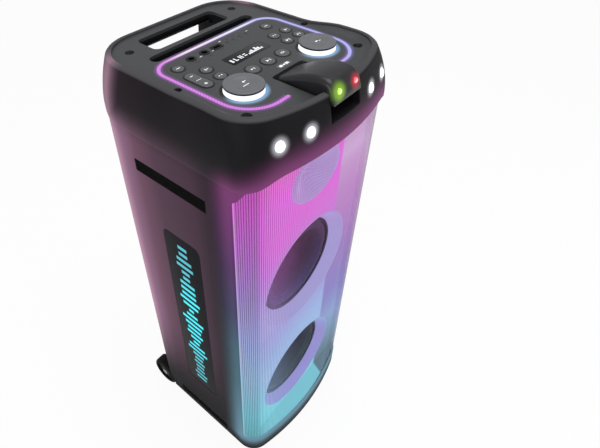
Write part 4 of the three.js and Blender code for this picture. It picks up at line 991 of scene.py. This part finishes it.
# The spot lamps: domed lenses lit white, set square to the front of the head, each in its
# own seat.
spot_finish = glowing(material("lit spot lamp", "c8cad0", 0.2, 0.5)[0], "ffffff", 1.4)
for i, x in enumerate(SPOTS):
    name = f"spot_lamp_{i + 1}"
    dome = [(0, -16), (7.4, -16), (7.4, 0), (6.9, 0.9), (5.9, 1.6), (4.2, 2.3), (2.2, 2.8), (0, 3)]
    dress(at_spot(spun(name, dome, "front", steps=40), x), spot_finish, "lit_white")

# Colours of the light behind the grille: magenta above, lavender in the middle and cyan at
# the foot, bluer towards both sides.
led, given, results = node_group(
    "light behind the grille", [("Brightness", "Float", 1.0)], [("Colour", "Color")])
x, y, z = place_of(led)
middle_tint = graded(z, [
    (90, "79c6d6"), (146, "80d4e2"), (200, "86c8e0"), (289, "9db8e0"), (351, "98b4de"), (430, "9d9fd8"),
    (470, "aaa4dc"), (527, "b4a2dc"), (600, "bd85d4"), (640, "c878d4"), (700, "d66ed2"), (760, "da6ddd"),
    (840, "d86abf")])
left_tint = graded(z, [
    (90, "5fa8b4"), (183, "6bb4c3"), (356, "8badcc"), (497, "9398cc"), (611, "957ebd"), (706, "a868bc"),
    (797, "bc58bc"), (850, "b84fae")])
right_tint = graded(z, [
    (90, "5a7080"), (173, "6f8ea4"), (254, "8a9fc9"), (363, "847ebe"), (497, "9879b9"), (585, "ad7ebd"),
    (664, "b786c1"), (724, "bf97c6"), (754, "c9a8d2"), (845, "ae8ead")])
tint = blended(ease(x, -118, -158), middle_tint, left_tint)
tint = blended(ease(x, 74, 82), tint, right_tint)
feed(results, {"Colour": scaled(tint, given["Brightness"])})

# The baffle: a board between the side walls with a raised lit panel in front of it, cut for
# the woofers, their funnels and the horn.
BAFFLE_BACK, BAFFLE_STEP, BAFFLE_FACE = -112, -124, -146
WOOFERS = {"upper_woofer": (534, 122), "lower_woofer": (204, 116)}
HORN_UP, HORN_WIDE, FUNNEL_FOOT = 767, 1.3, 103
baffle = prism("front_baffle", rounded(-167.3, 167.3, 44, 834, 2), BAFFLE_STEP, BAFFLE_BACK, "back")
neck = prism("neck", rounded(-158, 158, 800, 866, 6), BAFFLE_STEP, BAFFLE_BACK, "back")
raised = prism("raised", rounded(-146, 146, 86, 842, 10), BAFFLE_FACE, BAFFLE_STEP + 2, "back")
combine(baffle, "UNION", [neck, soften(raised, 2, 3)])
openings = []
for height, mouth in WOOFERS.values():
    foot, edge = FUNNEL_FOOT + SEAT, mouth + SEAT
    openings.append(([(0, 100), (92.3, 100), (92.3, 160), (0, 160)], height, 1))
    openings.append(([(0, -BAFFLE_STEP), (foot, -BAFFLE_STEP), (edge, -BAFFLE_FACE), (edge, 160), (0, 160)],
                     height, 1))
openings.append(([(0, 100), (43.3, 100), (43.3, 160), (0, 160)], HORN_UP, HORN_WIDE))
cut(baffle, *(spun("hole", profile, "front", (0, 0, height), 72, wide) for profile, height, wide in openings))
baffle_finish = grained("lit baffle", "201824", 0.6, 0.1, fineness=600)
x, y, z = place_of(baffle_finish.node_tree)
front_side = ease(y, BAFFLE_STEP + 6, BAFFLE_STEP + 3)
behind_light = effect(baffle_finish, led, Brightness=1.45)["Colour"]
glowing(baffle_finish, blended(front_side, "000000", behind_light))
dress(baffle, baffle_finish, "lit_baffle")

# The woofers: a steel basket with its magnet, a ribbed black cone with a half-roll surround
# and a dust cap, and a milky funnel round each that takes up the coloured light.
frame_finish = grained("dark steel basket", "242228", 0.45, 0.3, 0.5, fineness=900, depth=0.2)
cone_finish = grained("black cone", "151416", 0.75, 0.1, uneven=0.3, fineness=500, depth=0.5)
x, y, z = place_of(cone_finish.node_tree)
from_upper, from_lower = (abs(z - height) for height, mouth in WOOFERS.values())
# Painted light on each cone: the coloured light of the funnels painted on its outer part, and a faint glow of
# its own towards the middle.
painted_cone_light = graded(z, [(110, "50606e"), (204, "3c434b"), (290, "46465a"), (440, "565a98"), (520, "524478"),
                      (600, "6c4c72"), (640, "74527a")])
to_rim = ease(length_of(x, from_upper.at_most(from_lower)), 48, 100)
glowing(cone_finish, blended(to_rim, "151815", painted_cone_light), 0.8)
funnel_finish = grained("milky funnel", "3a3844", 0.4, 0.3, fineness=600)
x, y, z = place_of(funnel_finish.node_tree)
glowing(funnel_finish, graded(z, [(90, "9a94dc"), (200, "9a92d8"), (320, "88b4dc"), (430, "a8a2dc"),
                                  (534, "aa9fdc"), (650, "ac94d2")]), 1.2)
half_roll = [math.pi * i / 8 for i in range(9)]
cone_profile = [(0, -36), (23, -36), (72, -8), (76, -5)]
cone_profile += [(81 - 6 * math.cos(a), -1.5 + 3.4 * math.sin(a)) for a in half_roll]
cone_profile += [(86, -1.7), (91.6, -1.7), (91.6, -0.2), (88, -0.2)]
fine_roll = [math.pi * i / 12 for i in range(13)]
cone_profile += [(81 + 7.5 * math.cos(a), -0.6 + 4.4 * math.sin(a)) for a in fine_roll] + [(72, -5.8)]
for i in range(1, 12):
    share = i / 12
    cone_profile.append((72 - 46 * share, -5.8 - 24.8 * share ** 1.15 + (0.5 if i % 2 else 0)))
cone_profile += [(25.4, -31), (25, -24), (21, -20.5), (15, -18), (8, -16.5), (0, -16)]
for name, (height, mouth) in WOOFERS.items():
    basket = spun(name + "_frame", [
        (0, -102), (48, -102), (50, -100), (50, -66), (55, -66), (91, -12), (91, 0.3), (98, 0.3), (98, 3.2),
        (97.2, 4), (92.8, 4), (92, 3.2), (92, -2), (86, -2), (86, -12), (50, -62), (0, -62)],
        "front", (0, BAFFLE_STEP, height), 72, angle=32)
    dress(basket, frame_finish, "plain_steel")
    cone = spun(name + "_cone", cone_profile, "front", (0, BAFFLE_STEP - 0.2, height), 96)
    dress(cone, cone_finish, "cone_black")
    low, high = SEAT - BAFFLE_STEP, -BAFFLE_FACE
    funnel = [(FUNNEL_FOOT - 3, low), (FUNNEL_FOOT, low), (mouth, high), (mouth - 3, high),
              (FUNNEL_FOOT - 3, low)]
    ring = spun(name + "_light_ring", funnel, "front", (0, 0, height), 96)
    dress(ring, funnel_finish, "ring_diffuser")

# Reflectors between the lit panel and the window's edge: thin lit sheets on both sides and
# under the panel that carry the coloured light out to the grille's border.
INNER_X, INNER_Y, SIDE_END, ARC_END = 147, -138, -121.5, -124
reflector_finish = grained("lit reflector", "302834", 0.6, 0.1, fineness=600)
glowing(reflector_finish, effect(reflector_finish, led, Brightness=1.3)["Colour"])
for name, side in (("left_reflector", -1), ("right_reflector", 1)):
    outer, inner = ([(x, y) for x, y in plan_outline(BODY_PLAN, inset) if x > INNER_X and y < SIDE_END]
                    for inset in (5.5, 7.5))
    flat = [(INNER_X, INNER_Y)] + outer + inner[::-1] + [(INNER_X + 2.5, INNER_Y)]
    sheet = prism(name, [(side * x, y) for x, y in flat], 70, 838)
    dress(soften(sheet, 0.4, 1), reflector_finish)
arc = sorted((x, y) for x, y in plan_outline(BODY_PLAN, 8) if y < ARC_END)
points = []
for x, y in arc:
    inner_y = max(y + 3, -143)
    points += [(x, y, 68), (x, inner_y, 90), (x, inner_y, 88.5), (x, y, 66.5)]
dress(outward(shape("lower_reflector", points, skin(4, len(arc)))), reflector_finish)

# The horn: an oval flare, lit lavender and finely striped, let into the baffle over the
# woofers, and the driver behind it.
horn_finish = grained("lit horn", "34303a", 0.35, 0.4, fineness=700)
x, y, z = place_of(horn_finish.node_tree)
glowing(horn_finish, blended(ease((z * 1.6).wave(), -0.3, 0.5), "b49ad6", "a98fcc"), 1.25)
outside, inside = [], []
for i in range(13):
    share = i / 12
    radius = 12 + 28.5 * share ** 2
    inside.insert(0, (radius, -34 + 38 * share))
    outside.append((radius + 2.5, -34 + 33.7 * share))
horn_profile = outside + [(43, 0.3), (48, 0.3), (48, 3.2), (47.2, 4)] + inside + [outside[0]]
horn = spun("tweeter_horn", horn_profile, "front", (0, BAFFLE_FACE, HORN_UP), 72, HORN_WIDE)
dress(horn, horn_finish, "black_gloss")
driver = spun("tweeter_driver", [
    (0, -74.3), (31, -74.3), (34, -72), (34, -44), (31, -42), (31, -38), (20, -34.3), (0, -34.3)],
    "front", (0, BAFFLE_FACE, HORN_UP), angle=32)
dress(driver, frame_finish, "plain_steel")

# The grille: one thin perforated sheet that wraps round the front, ribbed where it turns into
# the sides, dark tinted between its holes and bright where the light behind shows through, with a painted
# highlight along its border.
outline = [(x, y) for x, y in plan_outline(BODY_PLAN, 2) if y < -100]
outline.sort(key=lambda place: (place[0], place[1] if place[0] > 0 else -place[1]))
dense = []
for (x0, y0), (x1, y1) in zip(outline, outline[1:]):
    pieces = max(1, int(math.hypot(x1 - x0, y1 - y0) / 4))
    dense += [(x0 + (x1 - x0) * i / pieces, y0 + (y1 - y0) * i / pieces) for i in range(pieces)]
dense.append(outline[-1])
dense = [place for place in dense if place[1] <= WINDOW_SIDE - SEAT]


def window_span(x):
    """The lowest and highest place of the window at a place across."""
    low, high = WINDOW_LOW + SEAT, WINDOW_HIGH - SEAT
    if abs(x) > CORNER_START:
        low += WINDOW_CORNER - math.sqrt(max(WINDOW_CORNER ** 2 - (abs(x) - CORNER_START) ** 2, 0))
    if abs(x) > ARCH_START:
        high -= ARCH_HIGH * (1 - math.sqrt(max(1 - ((abs(x) - ARCH_START) / ARCH_WIDE) ** 2, 0)))
    return low, high


ROWS = 48
points, faces, maps, run = [], [], [], 0
for i, (x, y) in enumerate(dense):
    if i:
        run += math.hypot(x - dense[i - 1][0], y - dense[i - 1][1])
    low, high = window_span(x)
    for j in range(ROWS + 1):
        points.append((x, y, low + (high - low) * j / ROWS))
        maps.append((run, (high - low) * min(j / ROWS, 1 - j / ROWS)))
for i in range(len(dense) - 1):
    for j in range(ROWS):
        a = i * (ROWS + 1) + j
        faces.append((a, a + ROWS + 1, a + ROWS + 2, a + 1))
grille = shape("front_grille", points, faces)
around_map = grille.data.uv_layers.new(name="around")
border_map = grille.data.uv_layers.new(name="border")
for loop in grille.data.loops:
    run_here, inward_here = maps[loop.vertex_index]
    around_map.data[loop.index].uv = (run_here / 1000, points[loop.vertex_index][2] / 1000)
    border_map.data[loop.index].uv = (min(run_here, run - run_here, inward_here) / 1000, 0)
grille_finish, shader = material("perforated sheet", "0c0a0d", 0.5, 0.12, 0.2)


def mapped(name):
    """A place on one of the grille's maps, in millimetres."""
    return parts_of(scaled(step(grille_finish.node_tree, "UVMap", "UV", uv_map=name), 1000))


along, up, flat = mapped("around")
inset = mapped("border")[0]
RIB_PITCH, HOLE_PITCH, PLAIN, RIBBED = 3.5, 2.75, 150, 20
turned_side = ease(along, PLAIN, RIBBED).at_least(ease(along, run - PLAIN, run - RIBBED))
rib_dark = ease((along * (2 * math.pi / RIB_PITCH)).wave(), 0.2, 0.85)
hole_x, hole_z = ((place * (2 * math.pi / HOLE_PITCH)).wave() for place in (along, up))
fine_alpha = ease(hole_x * hole_z, -0.35, 0.35) * 0.13 + 0.28
rib_alpha = rib_dark * 0.42 + 0.46
# A pale pink line painted along the grille's border, opaque and glowing: a painted highlight on the frame's
# edge.
painted_edge_highlight = ease(inset, 0.6, 1.6, 1, 0)
feed(shader, {"Alpha": (fine_alpha + (rib_alpha - fine_alpha) * turned_side).at_least(painted_edge_highlight)})
tint = blended(turned_side * 0.82 + 0.13, "0c080e", effect(grille_finish, led)["Colour"])
tint = blended(rib_dark * turned_side * 0.8, tint, "241a2c")
glowing(grille_finish, blended(painted_edge_highlight * 0.55, tint, "f4e4f6"), 0.9)
dress(grille, grille_finish, "lit_grille")

# Side pads and badge panels: rubber bars with fine flutes, and dark gloss panels with a cyan
# wave of level bars that glows brightest at its middle, seated in shallow pockets of the side walls.
pad_finish = grained("black pad", "060606", 0.7, 0.04, fineness=900, depth=0.3)
badge_finish = grained("gloss panel", "1a1a1e", 0.35, 0.03, uneven=0.05, fineness=300, depth=0.02)
wave_finish = grained("glowing cyan wave", "0f8f9a", 0.35, 0.4, uneven=0.05, depth=0.05)
# The wave has a glow of its own, brightest round its middle.
x, y, z = place_of(wave_finish.node_tree)
glowing(wave_finish, blended(ease(abs(z - 420), 60, 170), "17e6f6", "3f95a2"), 0.8)
POCKET_SEAT = WALL_FACE - POCKET + SEAT
BADGE_FACE, WAVE_BARS = POCKET_SEAT + 1.9, 28
for side_name, side in (("left", -1), ("right", 1)):
    for level, top in PAD_TOPS.items():
        name = f"{side_name}_{level}_pad"
        pad = side_box(name, side, PAD_FRONT, PAD_BACK, top - PAD_HIGH, top, 2, POCKET_SEAT, POCKET_SEAT + 2)
        soften(pad, 0.6)
        heights = [top - 4 - 4 * i for i in range(5)]
        cut(pad, *(side_box("flute", side, PAD_FRONT + 3, PAD_BACK - 3, height - 0.6, height + 0.6, 0.4,
                            POCKET_SEAT + 1.5, POCKET_SEAT + 4) for height in heights))
        dress(pad, pad_finish, "black_rubber")
    name = f"{side_name}_badge_panel"
    panel = soften(side_box(name, side, *BADGE, 14, POCKET_SEAT, BADGE_FACE), 0.7, 3)
    dress(panel, badge_finish, "black_gloss")
    points, faces = [], []
    middle = (BADGE[0] + BADGE[1]) / 2
    for i in range(WAVE_BARS):
        swell = 0.5 + 0.5 * math.sin(i * 1.45 + 0.6) * math.cos(i * 0.4)
        half = 6 + 26 * swell * (0.4 + 0.6 * math.sin(math.pi * (i + 0.5) / WAVE_BARS))
        height = BADGE[2] + 24 + i * 16
        faces += skin(4, 2, len(points))
        points += [(side * depth, middle + y, height + z) for depth in (BADGE_FACE, BADGE_FACE + 0.08)
                   for y, z in ((-half, 0), (half, 0), (half, 8), (-half, 8))]
    dress(outward(shape(f"{side_name}_panel_figure", points, faces)), wave_finish)

# The back: a bass port with a flared lip, a ribbed panel and the mains inlet with its pins.
# The boards and the battery inside keep the solids' own form and get a finish here.
rear_finish = grained("black back moulding", "151517", 0.5, 0.3, uneven=0.15, fineness=1100, depth=0.3)
BACK, INLET = BODY_PLAN["back"], (0, 190)
port = spun("bass_port", [
    (34, 110), (37, 110), (37, -0.3), (45, -0.3), (45, -1.6), (44, -2.7), (42, -3), (40, -2.6), (37, -0.5),
    (35, 3.5), (34, 9), (34, 110)], "front", (0, BACK, PORT_UP), 72)
dress(port, rear_finish, "black_gloss")
rear = soften(prism("rear_panel", rounded(*REAR_PANEL, grow=-SEAT), BACK - 4, BACK, "back"), 0.6)
cut(rear, prism("inlet_seat", around(INLET, 16 + SEAT, 12 + SEAT, 4), BACK - 18, BACK + 12, "back"))
dress(rear, rear_finish, "black_shell")
for i in range(11):
    rib_plan = around(((i - 5) * 12, 365), 1.5, 75, 1.2, 4)
    rib = prism(f"cooling_rib_{i + 1}", rib_plan, BACK - 0.5, BACK + 4, "back")
    dress(soften(rib, 0.5), rear_finish)
for i, (x, z) in enumerate(((-82, 160), (82, 160), (-82, 460), (82, 460), (-82, 310), (82, 310))):
    screw = spun(f"rear_screw_{i + 1}", [(0, -3.2), (3.6, -2.9), (4.2, -2), (4.2, 0), (0, 0)],
                 "front", (x, BACK, z), 28)
    cut(screw, *cross((x, z), 2.2, 0.45, BACK + 2.2, BACK + 4, "back"))
    dress(screw, screw_finish)
inlet = prism("mains_inlet", around(INLET, 16, 12, 4), BACK - 20, BACK + 3, "back")
flange = soften(prism("inlet_flange", around(INLET, 19, 15, 4), BACK + SEAT, BACK + 3, "back"), 0.5)
for piece in (inlet, flange):
    cut(piece, prism("cup", around(INLET, 13, 9, 3), BACK - 17, BACK + 12, "back"))
dress(inlet, socket_finish, "black_gloss")
dress(flange, socket_finish)
pin_finish = grained("inlet pin", "b8b4a8", 0.3, 0.5, 1.0, uneven=0.05, fineness=900, depth=0.05)
for i, x in enumerate((-6, 6)):
    pin = spun(f"inlet_pin_{i + 1}", [(0, 5), (0.8, 5), (1.3, 6), (1.3, 17), (0, 17)],
               "front", (x, BACK, INLET[1]), 20)
    dress(pin, pin_finish)
board_finish = grained("circuit board", "1f4a2c", 0.5, 0.4, uneven=0.2, fineness=600, depth=0.2)
battery_finish = grained("battery wrap", "141518", 0.4, 0.4, fineness=400)
for name, finish in (("control_board", board_finish), ("amplifier_board", board_finish),
                     ("battery_pack", battery_finish)):
    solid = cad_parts[name]
    solid.data.materials.clear()
    solid.data.materials.append(finish)

# The axle and the wheels: a steel bar with a head at each end, and a moulded hub with five
# ribs and a rubber tread with round shoulders and shallow grooves, both turning as one.
steel_finish = grained("axle steel", "a2a4a8", 0.3, 0.5, 1.0, uneven=0.05, fineness=900, depth=0.05)
axle_end = [(5, 168.3), (8, 168.3), (8, 169.5), (6.8, 170.3), (0, 170.3)]
axle_form = [(radius, -length) for radius, length in reversed(axle_end)] + axle_end
axle = spun("wheel_axle", axle_form, "side", AXLE, 40, angle=32)
dress(axle, steel_finish, "plain_steel")
hub_finish = grained("wheel hub", "161618", 0.45, 0.35, fineness=1100, depth=0.2)
tread_finish = grained("wheel tread", "101011", 0.8, 0.2, uneven=0.2, fineness=700, depth=0.5)
inner, outer = WHEEL_OUTER - WHEEL_WIDTH, WHEEL_OUTER
tread = [(28.2, inner), (33, inner), (35.2, inner + 0.9), (37, inner + 2.6), (WHEEL_RADIUS, inner + 5)]
for i in range(4):
    start = inner + 7.2 + i * 4.4
    tread += [(WHEEL_RADIUS, start), (37.1, start + 0.5), (37.1, start + 1.1), (WHEEL_RADIUS, start + 1.6)]
tread += [(WHEEL_RADIUS, outer - 5), (37, outer - 2.6), (35.2, outer - 0.9), (33, outer), (28.2, outer),
          (28.2, inner)]
hub = [(5.08, inner), (13, inner), (13, inner + 5), (28, inner + 5), (28, outer - 5), (24, outer - 5),
       (13, outer - 5), (13, outer - 3.6), (12.4, outer - 3), (5.08, outer - 3), (5.08, inner)]
for side_name, side in (("left", -1), ("right", 1)):
    name, body = f"{side_name}_wheel", f"{side_name}_wheel_body"
    tyre = spun(f"{name}_tread", [(radius, side * length) for radius, length in tread], "side", AXLE, 72)
    dress(outward(tyre), tread_finish, body=body)
    hub_piece = spun(name, [(radius, side * length) for radius, length in hub], "side", AXLE, 60)
    dress(outward(hub_piece), hub_finish, "black_rubber", body)
    for i in range(5):
        angle = 2 * math.pi * i / 5
        points = []
        for radius, half in ((12.6, 2.2), (28.1, 1.6)):
            for offset, depth in ((-half, 5.4), (half, 5.4), (half, 3.4), (-half, 3.4)):
                points.append((side * (outer - depth),
                               AXLE[1] + radius * math.cos(angle) - offset * math.sin(angle),
                               AXLE[2] + radius * math.sin(angle) + offset * math.cos(angle)))
        spoke = soften(shape(f"{name}_rib_{i + 1}", points, skin(4, 2)), 0.4)
        dress(spoke, hub_finish, body=body)

# Feet: two rubber bars with round ends and soft edges, glued under the flat of the bottom,
# one behind the other.
foot_finish = grained("rubber foot", "121212", 0.8, 0.2, uneven=0.2, fineness=700, depth=0.4)
FOOT_HALF, FOOT_WIDE, FOOT_HIGH = 105, 22, BODY_BOTTOM - SEAT
for name, front in (("front_foot", -130), ("rear_foot", 58)):
    foot_plan = rounded(-FOOT_HALF, FOOT_HALF, front, front + FOOT_WIDE, FOOT_WIDE / 2)
    foot = soften(prism(name, foot_plan, 0, FOOT_HIGH), 1.5, 3)
    dress(foot, foot_finish, "black_rubber")
